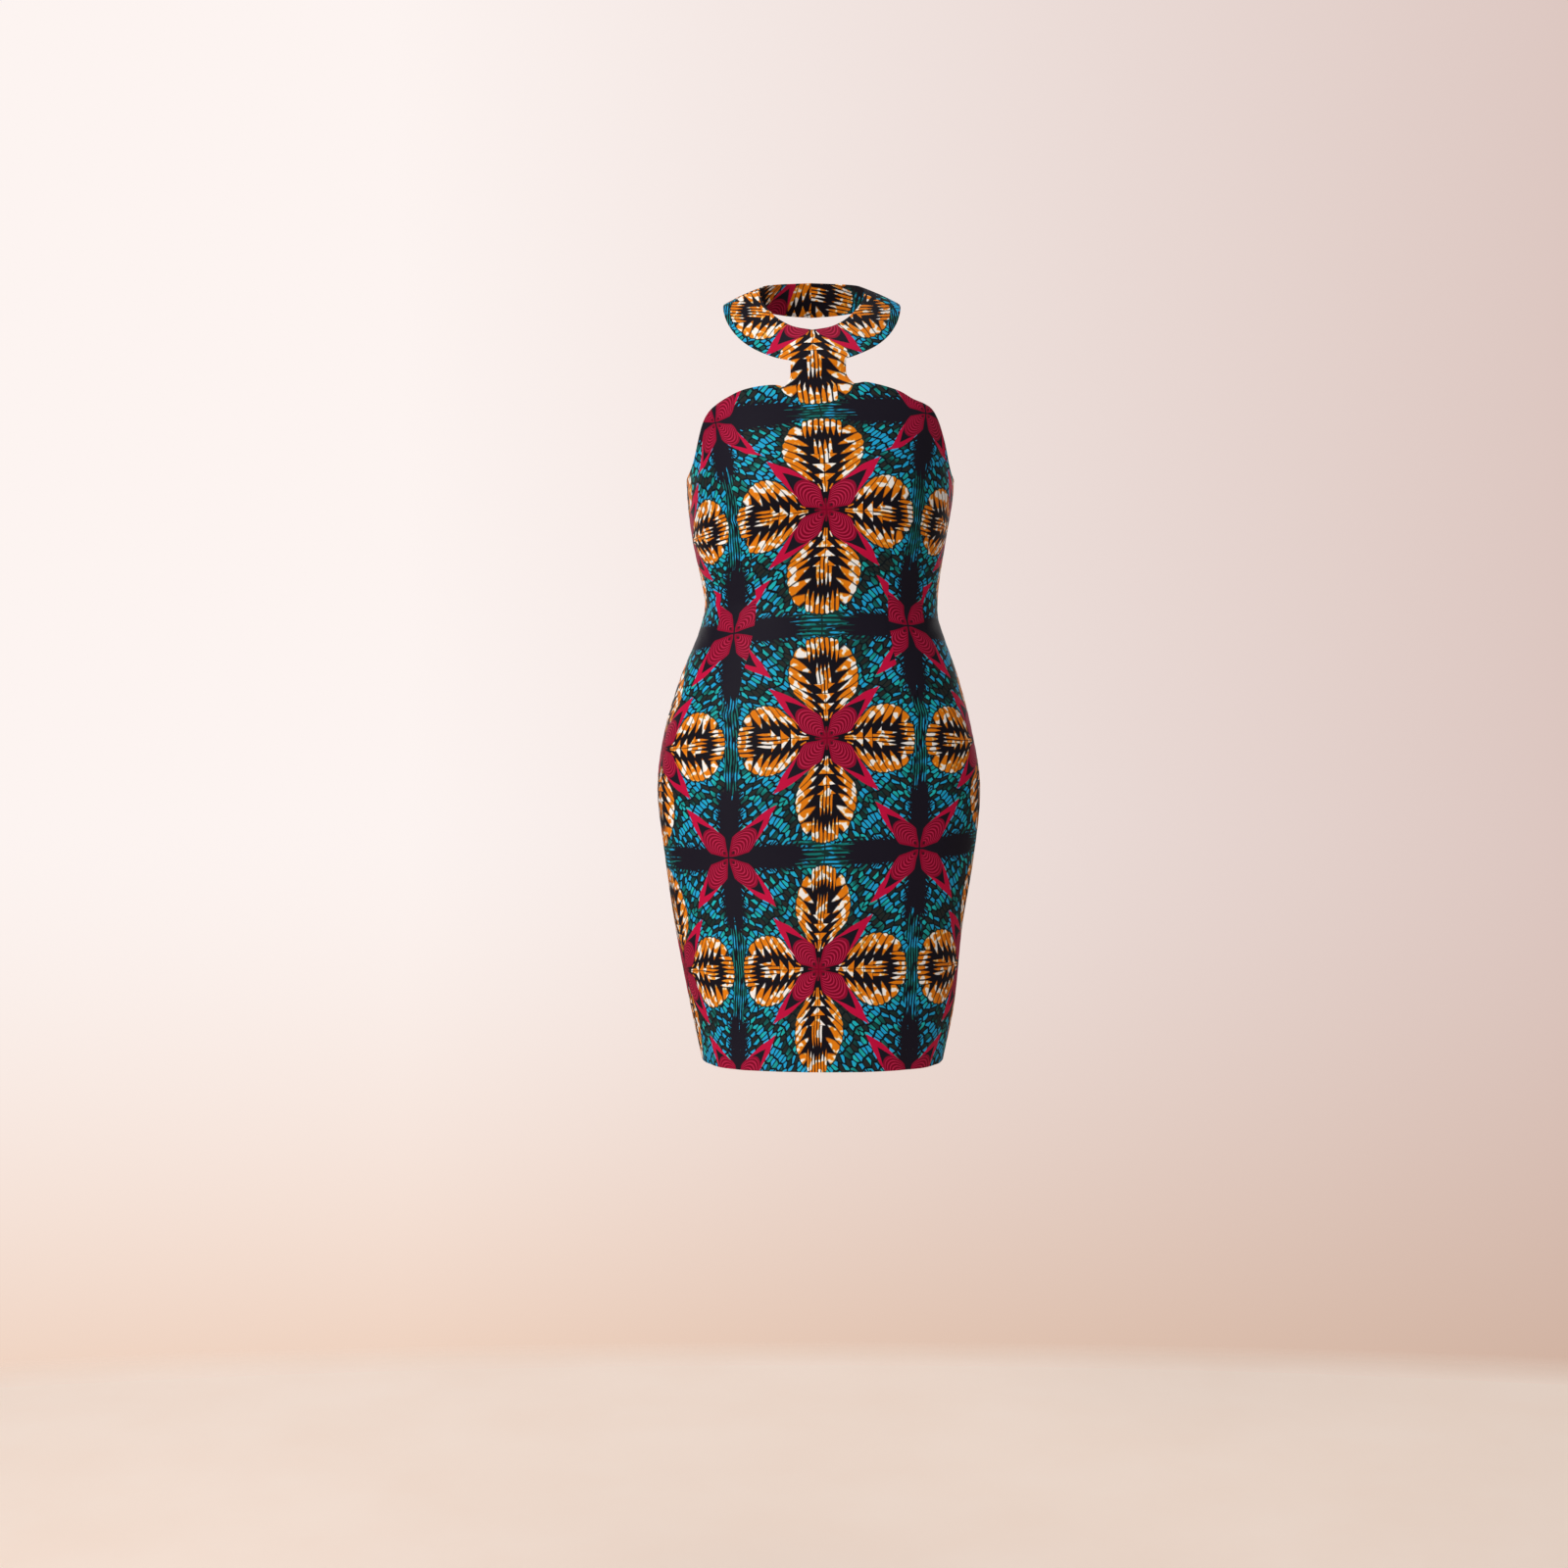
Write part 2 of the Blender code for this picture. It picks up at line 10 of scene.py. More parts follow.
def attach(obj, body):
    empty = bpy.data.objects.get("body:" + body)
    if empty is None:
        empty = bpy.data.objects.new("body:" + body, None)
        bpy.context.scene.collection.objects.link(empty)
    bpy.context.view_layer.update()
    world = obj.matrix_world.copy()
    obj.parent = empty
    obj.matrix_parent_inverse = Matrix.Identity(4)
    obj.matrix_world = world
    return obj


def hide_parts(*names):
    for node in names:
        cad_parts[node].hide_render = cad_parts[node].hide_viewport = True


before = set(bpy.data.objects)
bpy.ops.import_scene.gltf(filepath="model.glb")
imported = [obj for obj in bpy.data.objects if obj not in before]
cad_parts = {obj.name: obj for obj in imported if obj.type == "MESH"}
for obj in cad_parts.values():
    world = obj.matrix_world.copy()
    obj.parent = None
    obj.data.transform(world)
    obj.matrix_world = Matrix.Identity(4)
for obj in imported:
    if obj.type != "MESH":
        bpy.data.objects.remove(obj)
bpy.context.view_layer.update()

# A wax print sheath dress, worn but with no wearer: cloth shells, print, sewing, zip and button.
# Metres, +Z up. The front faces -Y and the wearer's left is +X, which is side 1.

mm = 0.001
nudge = 0.01  # between places that give a normal: in radians, or as a share of the collar's height
sideNames = {1: "left", -1: "right"}


def table(names, scales, rows):
    # a short table as one array for each named column
    columns = zip(names.split(), scales, zip(*rows))
    return {name: np.array(values, float) * scale for name, scale, values in columns}


def along(rows, name, at):
    # a smooth curve through one column, placed by the table's first column
    places, values = rows[next(iter(rows))], rows[name]
    if places[0] > places[-1]:
        places, values = places[::-1], values[::-1]
    slopes = np.empty_like(values)
    slopes[1:-1] = (values[2:] - values[:-2]) / (places[2:] - places[:-2])
    slopes[0] = (values[1] - values[0]) / (places[1] - places[0])
    slopes[-1] = (values[-1] - values[-2]) / (places[-1] - places[-2])
    i = np.clip(np.searchsorted(places, at) - 1, 0, len(places) - 2)
    step = places[i + 1] - places[i]
    s = (at - places[i]) / step
    return (
        (2 * s**3 - 3 * s**2 + 1) * values[i]
        + (s**3 - 2 * s**2 + s) * slopes[i] * step
        + (3 * s**2 - 2 * s**3) * values[i + 1]
        + (s**3 - s**2) * slopes[i + 1] * step
    )


def signed(value, exponent):
    return np.copysign(np.abs(value) ** exponent, value)


def steps(first, last, count):
    return np.linspace(first, last, count + 1)


def unit(vectors):
    return vectors / np.linalg.norm(vectors, axis=-1, keepdims=True)


cloth = {
    "cell": 3.9 * mm,  # spacing of the shells' points
    "outside": 0.8 * mm,  # from the middle of the solids' wall to the cloth's right side
    "inside": 0.15 * mm,  # and to its wrong side
    "hemDeep": 25 * mm,  # turned up inside
    "hemExtra": 0.75 * mm,
    "hemFade": 4 * mm,  # height over which the turned-up part ends
    "seam": 0.3 * mm,  # kept clear between layers
    "round": 0.4 * mm,  # how far the faces draw back where the edge rounds
}


def fine(keys, rate):
    # angles between the key angles, about one cell of cloth apart; rate is metres a radian
    found = [keys[0]]
    for low, high in zip(keys, keys[1:]):
        count = max(1, round((high - low) * rate / cloth["cell"]))
        found += list(steps(low, high, count)[1:])
    return np.array(found)


# The body of the dress, by height: the middle's shift, half width and depths, and how square the
# front is (2 is an ellipse).
bodyRows = table("z half centre front back frontPower", (mm, mm, mm, mm, mm, 1), [
    (-60, 134, 7.5, 74.5, 60, 2.3),
    (-103, 143, 9, 96, 83, 2.3),
    (-150, 149, 9.5, 112.5, 97, 2.3),
    (-207, 150, 9.5, 120, 101, 2.3),
    (-260, 143, 8.5, 110, 97, 2.25),
    (-325, 132.3, 10.5, 92, 86, 2.2),
    (-360, 136.8, 10.5, 92, 87, 2.2),
    (-415, 157.5, 9, 98, 103, 2.2),
    (-475, 174.5, 7.8, 104.5, 122, 2.2),
    (-540, 184, 8.5, 107, 131, 2.2),
    (-620, 176.5, 9.2, 107.5, 126, 2.2),
    (-700, 164.5, 8.5, 110.5, 117.5, 2.2),
    (-790, 151.5, 12.5, 112.5, 113, 2.3),
    (-853, 138.5, 13, 113, 111, 2.4),
])
# The bodice's top edge, by degrees round from centre front.
topRows = table("turn right left", (pi / 180, mm, mm), [
    (0, -94, -92.5),
    (13.3, -94.6, -90.6),
    (17, -92.6, -89),
    (22, -92.8, -90.8),
    (28, -94.5, -94),
    (35, -98, -99),
    (42, -104, -106.5),
    (50, -112, -111.5),
    (56, -120, -117.5),
    (60.5, -131.5, -130),
    (63.5, -148, -144),
    (66.5, -165, -158),
    (70, -177, -176),
    (75, -185, -187),
    (82, -190, -191),
    (90, -192, -192),
    (125, -188, -188),
    (180, -190, -190),
])
bodice = {
    "backPower": 2.2,
    "hemZ": -853 * mm,
    "hemLift": 3 * mm,  # at centre front
    "kneeZ": -700 * mm,
    "chestZ": -205 * mm,
    "rowsAbove": {"front": 30, "back": 4},  # rows of points from the chest to the top edge
    "frontTurns": (17, 23, 37, 44, 51, 60, 63, 66, 69, 74, 81, 90),
    "backTurns": (90, 100, 112, 130, 165, 176, 180),
    "frontRate": 0.165,  # metres of cloth a radian
    "backRate": 0.172,
    "girthRate": 0.135,
    "cupOut": 7 * mm,
    "cupX": 79 * mm,
    "cupZ": -214 * mm,
    "cupWidth": 46 * mm,
    "cupAbove": 62 * mm,
    "cupBelow": 44 * mm,
}
# Darts on both sides: degrees round, from, deepest and to in mm, and the cloth they take up at most.
dartRows = [
    ("front", 31.3, -240, -348, -452, 18),
    ("side", 57, -258, -322, -362, 19),
    ("back", 149, -250, -352, -446, 9),
]
dartSizes = (pi / 180, mm, mm, mm, mm)
darts = {
    name: dict(zip(("turn", "topZ", "deepZ", "endZ", "takeIn"), np.multiply(row, dartSizes)))
    for name, *row in dartRows
}
pressed = {"groove": 0.55 * mm, "wide": 2.2 * mm, "taper": 0.65, "steep": 4}  # a sewn dart's line
pucker = {  # along a seam
    "sinks": 0.35 * mm,
    "sinkWide": 3 * mm,
    "rise": 0.22 * mm,
    "every": 15 * mm,
    "wander": (2.3, 37),  # radians, and how fast it changes up the seam
    "fades": 9 * mm,
}
# Folds and creases: degrees round and z of the middle, length along, width across, degrees from
# level, how far it stands out (in where negative), and how far its middle bows.
creaseRows = table("turn z long wide lean rise bow", (pi / 180, mm, mm, mm, pi / 180, mm, mm), [
    # the broad ones that the solids have too
    (0, -236, 45, 24, 90, -2.5, 0),
    (-48, -800, 75, 20, 82, 2.2, 0),
    (-24, -815, 60, 17, 98, -1.6, 0),
    (52, -812, 70, 18, 86, 1.8, 0),
    (-78, -338, 34, 12, -8, -2, 0),
    (79, -350, 30, 12, 10, -1.8, 0),
    (158, -352, 42, 13, 6, -2.4, 0),
    (203, -366, 36, 13, -9, -2.2, 0),
    (176, -392, 50, 14, 3, -1.8, 0),
    (150, -800, 85, 22, 95, 2.4, 0),
    (206, -790, 80, 22, 84, 2, 0),
    (228, -815, 60, 18, 92, -1.8, 0),
    # front: drag lines at the waist and under the bust
    (-64, -318, 30, 6, -16, -1.3, 3),
    (-70, -349, 27, 5.5, -6, -1.1, -2),
    (-58, -372, 34, 7, -22, 1, 4),
    (-34, -336, 24, 7, -12, -0.8, 0),
    (62, -326, 28, 6, 14, -1.2, 3),
    (70, -356, 30, 5.5, 7, -1, -3),
    (55, -381, 32, 7, 20, 0.9, 0),
    (36, -344, 22, 6, 9, -0.7, 0),
    (4, -352, 46, 9, 3, -0.7, 2),
    (-47, -252, 26, 7, 38, -0.9, 3),
    (49, -248, 28, 7, -36, -0.9, 3),
    (-61, -170, 24, 6, 62, -1, 0),
    (63, -166, 22, 6, -60, -0.9, 0),
    (-8, -150, 40, 10, 84, -0.7, 0),
    # front: hips, thighs and hem
    (-22, -462, 52, 9, 9, -0.8, 3),
    (27, -470, 46, 8, -8, -0.7, -3),
    (-66, -470, 40, 9, 22, 0.9, 0),
    (-33, -640, 85, 13, 84, 0.9, 0),
    (19, -664, 95, 14, 96, -0.9, 4),
    (47, -606, 72, 12, 88, 0.8, 0),
    (-61, -596, 62, 11, 92, -0.9, 0),
    (-2, -742, 70, 14, 92, 0.8, 0),
    (-64, -836, 24, 9, 88, -1, 0),
    (-36, -838, 22, 8, 92, 1.1, 0),
    (-11, -838, 20, 8, 90, -0.8, 0),
    (14, -837, 22, 9, 88, 1, 0),
    (37, -838, 20, 8, 92, -1, 0),
    (68, -836, 23, 9, 90, 1.1, 0),
    # back: waist, blades, seat, thighs and hem
    (160, -334, 40, 6.5, 8, -1.3, 3),
    (149, -371, 36, 6, -7, -1.1, -3),
    (118, -345, 34, 7, 12, -1, 0),
    (199, -346, 38, 6, -10, -1.2, 3),
    (213, -379, 34, 6, 6, -1, 0),
    (243, -352, 32, 7, -10, -0.9, 0),
    (171, -408, 30, 6, 5, -0.9, 0),
    (191, -417, 28, 6, -6, -0.9, 0),
    (132, -236, 34, 9, -34, -0.9, 0),
    (226, -231, 36, 9, 32, -0.9, 0),
    (137, -612, 70, 12, 96, 0.9, 0),
    (224, -622, 74, 11, 84, 1, 0),
    (166, -664, 85, 13, 91, -1.1, 4),
    (197, -700, 80, 13, 88, 0.9, 0),
    (123, -836, 24, 9, 90, -1, 0),
    (163, -838, 22, 8.5, 92, 1.2, 0),
    (192, -838, 20, 8, 88, -1, 0),
    (238, -836, 24, 9, 90, 1.1, 0),
])


def plainBody(turn, z):
    turn, z = np.broadcast_arrays(turn, z)
    ahead = np.cos(turn) >= 0
    depth = np.where(ahead, along(bodyRows, "front", z), along(bodyRows, "back", z))
    bend = 2 / np.where(ahead, along(bodyRows, "frontPower", z), bodice["backPower"])
    across = along(bodyRows, "half", z) * signed(np.sin(turn), bend)
    deep = -depth * signed(np.cos(turn), bend)
    tall = np.where(z > bodice["cupZ"], bodice["cupAbove"], bodice["cupBelow"])
    for side in (-1, 1):
        beside = (across - side * bodice["cupX"]) / bodice["cupWidth"]
        cup = bodice["cupOut"] * np.exp(-(beside**2) - ((z - bodice["cupZ"]) / tall) ** 2)
        deep = deep - np.where(ahead, cup * np.cos(turn), 0)
    return np.stack([along(bodyRows, "centre", z) + across, deep, z], -1)


def facing(surface, u, v, du, dv):
    # the outward normal of a surface whose u runs right and v runs up, seen from outside
    right = surface(u + du, v) - surface(u - du, v)
    up = surface(u, v + dv) - surface(u, v - dv)
    return unit(np.cross(right, up))


def creaseRise(turn, z):
    total = np.zeros_like(turn)
    for middle, level, long, wide, lean, rise, bow in zip(*creaseRows.values()):
        x = ((turn - middle + pi) % tau - pi) * bodice["girthRate"]
        y = z - level
        run = (x * cos(lean) + y * sin(lean)) / long
        across = (y * cos(lean) - x * sin(lean) - bow * run**2) / wide
        total = total + rise * np.exp(-(run**2) - across**2)
    return total


def dartShare(dart, z):
    # how much of a dart's intake is taken up at a height
    above = (dart["topZ"] - z) / (dart["topZ"] - dart["deepZ"])
    below = (z - dart["endZ"]) / (dart["deepZ"] - dart["endZ"])
    return np.clip(np.minimum(above, below), 0, 1) ** pressed["taper"]


def seamDips(turn, z):
    # the cloth draws in at the side seams, the centre-back seam and the darts, with a slight pucker
    total = np.zeros_like(turn)
    swing, rate = pucker["wander"]
    for seam in (-pi / 2, pi / 2, pi, -pi):
        away = np.abs(turn - seam) * bodice["girthRate"]
        wave = np.sin(z * tau / pucker["every"] + swing * np.sin(z * rate) + seam)
        total = total - pucker["sinks"] * np.exp(-((away / pucker["sinkWide"]) ** 2))
        total = total + pucker["rise"] * wave * np.exp(-away / pucker["fades"])
    for dart in darts.values():
        away = np.abs(np.abs(turn) - dart["turn"]) * bodice["girthRate"]
        sewn = np.minimum(dartShare(dart, z) * pressed["steep"], 1)
        total = total - pressed["groove"] * sewn * np.exp(-((away / pressed["wide"]) ** 2))
    return total


def onBody(turn, z):
    # places on the middle of the cloth, and the normals there
    normal = facing(plainBody, turn, z, nudge, 0.5 * mm)
    rise = creaseRise(turn, z) + seamDips(turn, z)
    return plainBody(turn, z) + normal * rise[..., None], normal


def topZ(turn):
    heights = [along(topRows, side, np.abs(turn)) for side in ("right", "left")]
    return np.where(turn >= 0, heights[1], heights[0])


backTop = float(topZ(pi))


def panelHeights(turns, rowsAbove, hemLift=0):
    # up each column of a panel: level rows to the chest, then rows spread to the top edge
    low, chest, knee = bodice["hemZ"], bodice["chestZ"], bodice["kneeZ"]
    levels = steps(low, chest, round((chest - low) / cloth["cell"]))[:, None]
    lift = np.clip((knee - levels) / (knee - low), 0, None)
    levels = levels + hemLift * np.cos(turns) ** 2 * lift
    return np.concatenate([levels, chest + (topZ(turns) - chest) * steps(0, 1, rowsAbove)[1:, None]])


# The collar band, by degrees round: its neck edge and its rim.
ringRows = table("turn neckRadius neckZ rimRadius rimZ", (pi / 180, mm, mm, mm, mm), [
    (0, 54, -29.5, 84, -67),
    (23, 55.5, -25, 86.5, -64),
    (41, 57.5, -16, 91, -54),
    (56, 58.5, -5, 95, -41),
    (75, 59, 8.5, 98, -19),
    (90, 59, 19.5, 100, 1),
    (110, 57, 27, 99, 8.5),
    (135, 54, 31.5, 92, 5.5),
    (160, 52.5, 34, 82.5, 0.5),
    (180, 52, 35, 78.5, -1.5),
])
collar = {
    "crown": 1.2 * mm,
    "shoulderRight": radians(-93),
    "shoulderLeft": radians(84),
    "rows": 14,
    "frontRate": 0.088,  # metres of cloth a radian
    "backRate": 0.09,
    "waves": [  # soft unevenness: turn and width in radians, and how far it stands out in mm
        (-1.25, 0.20, 0.5), (-0.72, 0.16, -0.45), (0.62, 0.18, 0.5), (1.18, 0.15, -0.5),
        (1.9, 0.22, 0.6), (2.6, 0.2, -0.5), (-2.1, 0.2, 0.55), (-2.75, 0.18, -0.4),
    ],
}
tab = {
    "x": 5.8 * mm,
    "half": 29.6 * mm,
    "flare": 0.5,
    "turns": np.radians([-13.3, -8.6, -4.2, 0, 3.8, 7.8, 12.2]),
    "parts": 3,
    "shares": np.array([0.035, 0.07, 0.12, 0.18, 0.26, 0.34, 0.44, 0.55, 0.66, 0.78, 0.89]),
}


def plainBand(turn, up):
    around = np.abs((turn + pi) % tau - pi)
    rim, neck = (
        (along(ringRows, part + "Radius", around), along(ringRows, part + "Z", around))
        for part in ("rim", "neck")
    )
    radius = (1 - up) * rim[0] + up * neck[0]
    height = (1 - up) * rim[1] + up * neck[1]
    return np.stack([radius * np.sin(turn), -radius * np.cos(turn), height], -1)


def onBand(turn, up):
    turn, up = np.broadcast_arrays(turn, up)
    normal = facing(plainBand, turn, up, nudge, nudge)
    rise = collar["crown"] * 4 * up * (1 - up)
    for middle, wide, out in collar["waves"]:
        rise = rise + out * mm * (1 - up) ** 2 * np.exp(-(((turn - middle) / wide) ** 2))
    return plainBand(turn, up) + normal * rise[..., None], normal


def bandGrid(turns):
    # rows from the rim to the neck edge
    return onBand(turns[None, :], steps(0, 1, collar["rows"])[:, None])


def tabGrid(foot, footNormal, head, headNormal):
    # rows between the bodice's top edge and the collar's rim
    share = tab["shares"][:, None]
    spread = np.maximum(0, 1 - share / tab["flare"]) ** 2
    x = head[:, 0] + (foot[:, 0] - head[:, 0]) * spread
    z = foot[:, 2] + (head[:, 2] - foot[:, 2]) * share
    names = ("half", "centre", "front", "frontPower")
    half, centre, front, bend = (along(bodyRows, name, z) for name in names)
    bodyY = -front * (1 - np.abs((x - centre) / half) ** bend) ** (1 / bend)
    y = bodyY + (head[:, 1] - bodyY) * share * share * (3 - 2 * share)
    normal = footNormal * (1 - share[..., None]) + headNormal * share[..., None]
    return np.stack([x, y, z], -1), unit(normal)


# Where the print lies on the cloth, in flat metres from the middle of the bust's flower: its sideways
# middle, droop and tilt 100 mm out, and stretch across, also on the wearer's right.
printRows = table("z centre droop tilt across rightAcross", (mm, mm, mm, mm, 1, 1), [
    (-60, -1, 3.5, 4, 0.9, 1),
    (-127, 8.4, 3.9, 4.4, 0.87, 1),
    (-190, 12.5, 10, 4.3, 0.95, 1),
    (-230, 14.8, 12.4, 4.2, 1, 1),
    (-360, 10.5, 6, 4, 0.9, 1),
    (-478, 15.7, 4.4, 2.2, 1, 1),
    (-607, 13.4, 1, 5.2, 1, 1),
    (-734, 6.5, 4, 2.3, 1, 1.19),
    (-853, 4, 5, 2, 1, 1.19),
])
# Heights at centre front and how far up the print they are.
printLevels = table("z up", (mm, mm), [
    (-60, 203),
    (-93, 163),
    (-113.7, 140),
    (-130.8, 113.5),
    (-168, 62),
    (-229.8, 0),
    (-341.8, -113.5),
    (-368.1, -140),
    (-478.2, -253.5),
    (-593.5, -367),
    (-620.1, -393.5),
    (-734.2, -507),
    (-851.8, -620.5),
    (-870, -638),
])
collarPrint = {
    "across": 1.09,
    "up": 0.926,
    "sideways": -2.5 * mm,
    "droop": 2.7,  # a metre squared
    "backFrom": {1: (70 * mm, 75 * mm), -1: (-95 * mm, 220 * mm)},
}
backPrint = {"across": {1: 47 * mm, -1: 51 * mm}, "droop": 3 * mm}


def girth(turn, z):
    # level length of cloth from the middle of the front or back to each place
    middle = 0 if np.abs(turn).max() <= pi / 2 + 0.01 else pi * np.sign(turn.mean())
    parts = 60
    length = np.zeros_like(turn)
    spot = plainBody(np.full_like(turn, middle), z)
    for i in range(1, parts + 1):
        after = plainBody(middle + (turn - middle) * i / parts, z)
        length += np.linalg.norm(after - spot, axis=-1)
        spot = after
    return length * np.sign(turn - middle)


def levelUp(z):
    places, ups = printLevels["z"][::-1], printLevels["up"][::-1]
    return np.interp(z, places, ups)


def frontFlat(turn, z):
    centre = along(printRows, "centre", z)
    x = (plainBody(turn, z)[..., 0] - centre) / (100 * mm)
    level = z + along(printRows, "droop", z) * x**2 - along(printRows, "tilt", z) * x
    u = (girth(turn, z) + along(bodyRows, "centre", z) - centre) * along(printRows, "across", z)
    u = np.where(u < 0, u * along(printRows, "rightAcross", z), u)
    return np.stack([u, levelUp(level)], -1)


def backFlat(turn, z, side):
    x = (plainBody(turn, z)[..., 0] - along(bodyRows, "centre", z)) / (100 * mm)
    u = -girth(turn, z) + backPrint["across"][side]
    return np.stack([u, levelUp(z + backPrint["droop"] * x**2)], -1)


def unroll(band, start, up):
    # lays a collar strip flat, keeping its edges' lengths, from its first column outwards
    rim, neck = band[0], band[-1]
    flatRim = [np.array([start, up])]
    flatNeck = [np.array([start, up + np.linalg.norm(neck[0] - rim[0])])]
    way = 1 if rim[-1][0] - rim[0][0] > 0 else -1

    def third(a, b, fromA, fromB):
        between = b - a
        span = np.linalg.norm(between)
        run = (fromA**2 - fromB**2 + span**2) / (2 * span)
        rise = max(fromA**2 - run**2, 0) ** 0.5
        ahead = np.array([between[1], -between[0]]) / span
        return a + between / span * run + ahead * rise * way

    for i in range(1, len(rim)):
        lengths = [np.linalg.norm(rim[i] - old[i - 1]) for old in (rim, neck)]
        flatRim.append(third(flatRim[-1], flatNeck[-1], *lengths))
        lengths = [np.linalg.norm(neck[i] - old) for old in (rim[i], neck[i - 1])]
        flatNeck.append(third(flatRim[-1], flatNeck[-1], *lengths))
    share = steps(0, 1, collar["rows"])[:, None, None]
    return np.array(flatRim) * (1 - share) + np.array(flatNeck) * share


def frontCollarFlat(band, start, at, footV):
    # unrolled from the tab's middle column to both sides, then eased as the print lies on it
    flat = np.zeros((*band.shape[:2], 2))
    for way in (slice(start, None), slice(start, None, -1)):
        flat[:, way] = unroll(band[:, way], *at)
    aside = flat[..., 0] - at[0]
    flat[..., 0] = at[0] + collarPrint["sideways"] + aside * collarPrint["across"]
    flat[..., 1] = footV + (flat[..., 1] - footV) * collarPrint["up"] - collarPrint["droop"] * aside**2
    return flat


sewing = {
    "inset": 2.4 * mm,  # from a finished edge
    "lift": 0.04 * mm,  # off the cloth's right side
    "stitch": (3.1 * mm, (0.2 * mm, 0.2 * mm, 1.15 * mm)),  # spacing and half sizes
    "prick": (9 * mm, (0.18 * mm, 0.18 * mm, 0.7 * mm)),
    "hemParts": 90,
    "pricked": {"front": (-88, 88), "back_left": (92, 177), "back_right": (-177, -92)},  # in degrees
}
proud = cloth["outside"] + sewing["lift"]


def placed(name, data):
    made = bpy.data.objects.new(name, data)
    bpy.context.scene.collection.objects.link(made)
    return made


def smoothed(mesh, finish, sharp=50):
    mesh.materials.append(finish)
    mesh.shade_smooth()
    mesh.set_sharp_from_angle(angle=radians(sharp))
    return mesh


def listed(width, *parts):
    # the values of several grids in one list
    return np.concatenate([part.reshape(-1, width) for part in parts])


def numbered(shape, first=0):
    # the points' numbers, laid out in their rows and columns
    return first + np.arange(shape[0] * shape[1]).reshape(shape[:2])


def grids(rows):
    # quads between neighbouring rows of point numbers
    low, high = np.array(rows[:-1]), np.array(rows[1:])
    return np.stack([low[:, :-1], low[:, 1:], high[:, 1:], high[:, :-1]], -1).reshape(-1, 4)


def outwards(points, normals, quads):
    # the boundary's edges, and the direction off the cloth at each of its points
    pairs = dict.fromkeys((quad[i - 1], quad[i]) for quad in quads.tolist() for i in (1, 2, 3, 0))
    edges = [(a, b) for a, b in pairs if (b, a) not in pairs]
    off = np.zeros_like(points)
    for a, b in edges:
        off[[a, b]] += unit(np.cross(points[b] - points[a], normals[a] + normals[b]))
    length = np.linalg.norm(off, axis=-1, keepdims=True)
    return edges, off / np.where(length > 0, length, 1)


def closedSheet(name, layers, quads, edges, finish, sharp=50, corners=None):
    # a thin closed mesh: layers of points from its right side to its wrong side, joined round the edge
    quads, count = quads.tolist(), len(layers[0])
    last = (len(layers) - 1) * count
    faces = quads + [[i + last for i in reversed(quad)] for quad in quads]
    for a, b in edges:
        for low in range(0, last, count):
            faces.append((b + low, a + low, a + low + count, b + low + count))
    mesh = bpy.data.meshes.new(name)
    mesh.from_pydata([tuple(spot) for spot in np.concatenate(layers)], [], faces)
    if corners is not None:
        place = {i: uv for quad, uvs in zip(quads, corners) for i, uv in zip(quad, uvs)}
        coords = [*corners.reshape(-1, 2), *corners[:, ::-1].reshape(-1, 2)]
        for a, b in edges:
            coords += [place[b], place[a], place[a], place[b]] * (len(layers) - 1)
        layer = mesh.uv_layers.new(name="cloth")
        layer.data.foreach_set("uv", np.array(coords, np.float32).ravel())
    kept = bmesh.new()
    kept.from_mesh(mesh)
    bmesh.ops.delete(kept, geom=[v for v in kept.verts if not v.link_faces], context="VERTS")
    kept.to_mesh(mesh)
    kept.free()
    return placed(name, smoothed(mesh, finish, sharp))


def hemInside(*heights):
    # the wrong side of the cloth is thicker where the hem is turned up
    fold = bodice["hemZ"] + cloth["hemDeep"] + cloth["hemFade"] / 2
    share = np.clip((fold - listed(1, *heights)) / cloth["hemFade"], 0, 1)
    return cloth["inside"] + cloth["hemExtra"] * share


def shell(name, points, normals, quads, corners, runs, finish, inside=cloth["inside"]):
    # cloth round a sheet of points, and the sewing lines beside some of its edges
    edges, off = outwards(points, normals, quads)
    back = off * cloth["round"]
    layers = [
        points + normals * cloth["outside"] - back,
        points + normals * (cloth["outside"] - inside) / 2,
        points - normals * inside - back,
    ]
    lines = [points[run] - off[run] * sewing["inset"] + normals[run] * proud for run in runs]
    return closedSheet(name, layers, quads, edges, finish, corners=corners), lines


def closeDart(corners, quads, turns, heights, dart, side, after):
    # moves the print past a dart by what it takes in; after is true where past means later columns
    line = int(np.argmin(np.abs(turns - side * dart["turn"])))
    column = quads[:, 0] % len(turns)
    past = np.flatnonzero(column >= line if after else column < line)
    corners[past, :, 0] += side * dart["takeIn"] * dartShare(dart, heights[quads[past]])


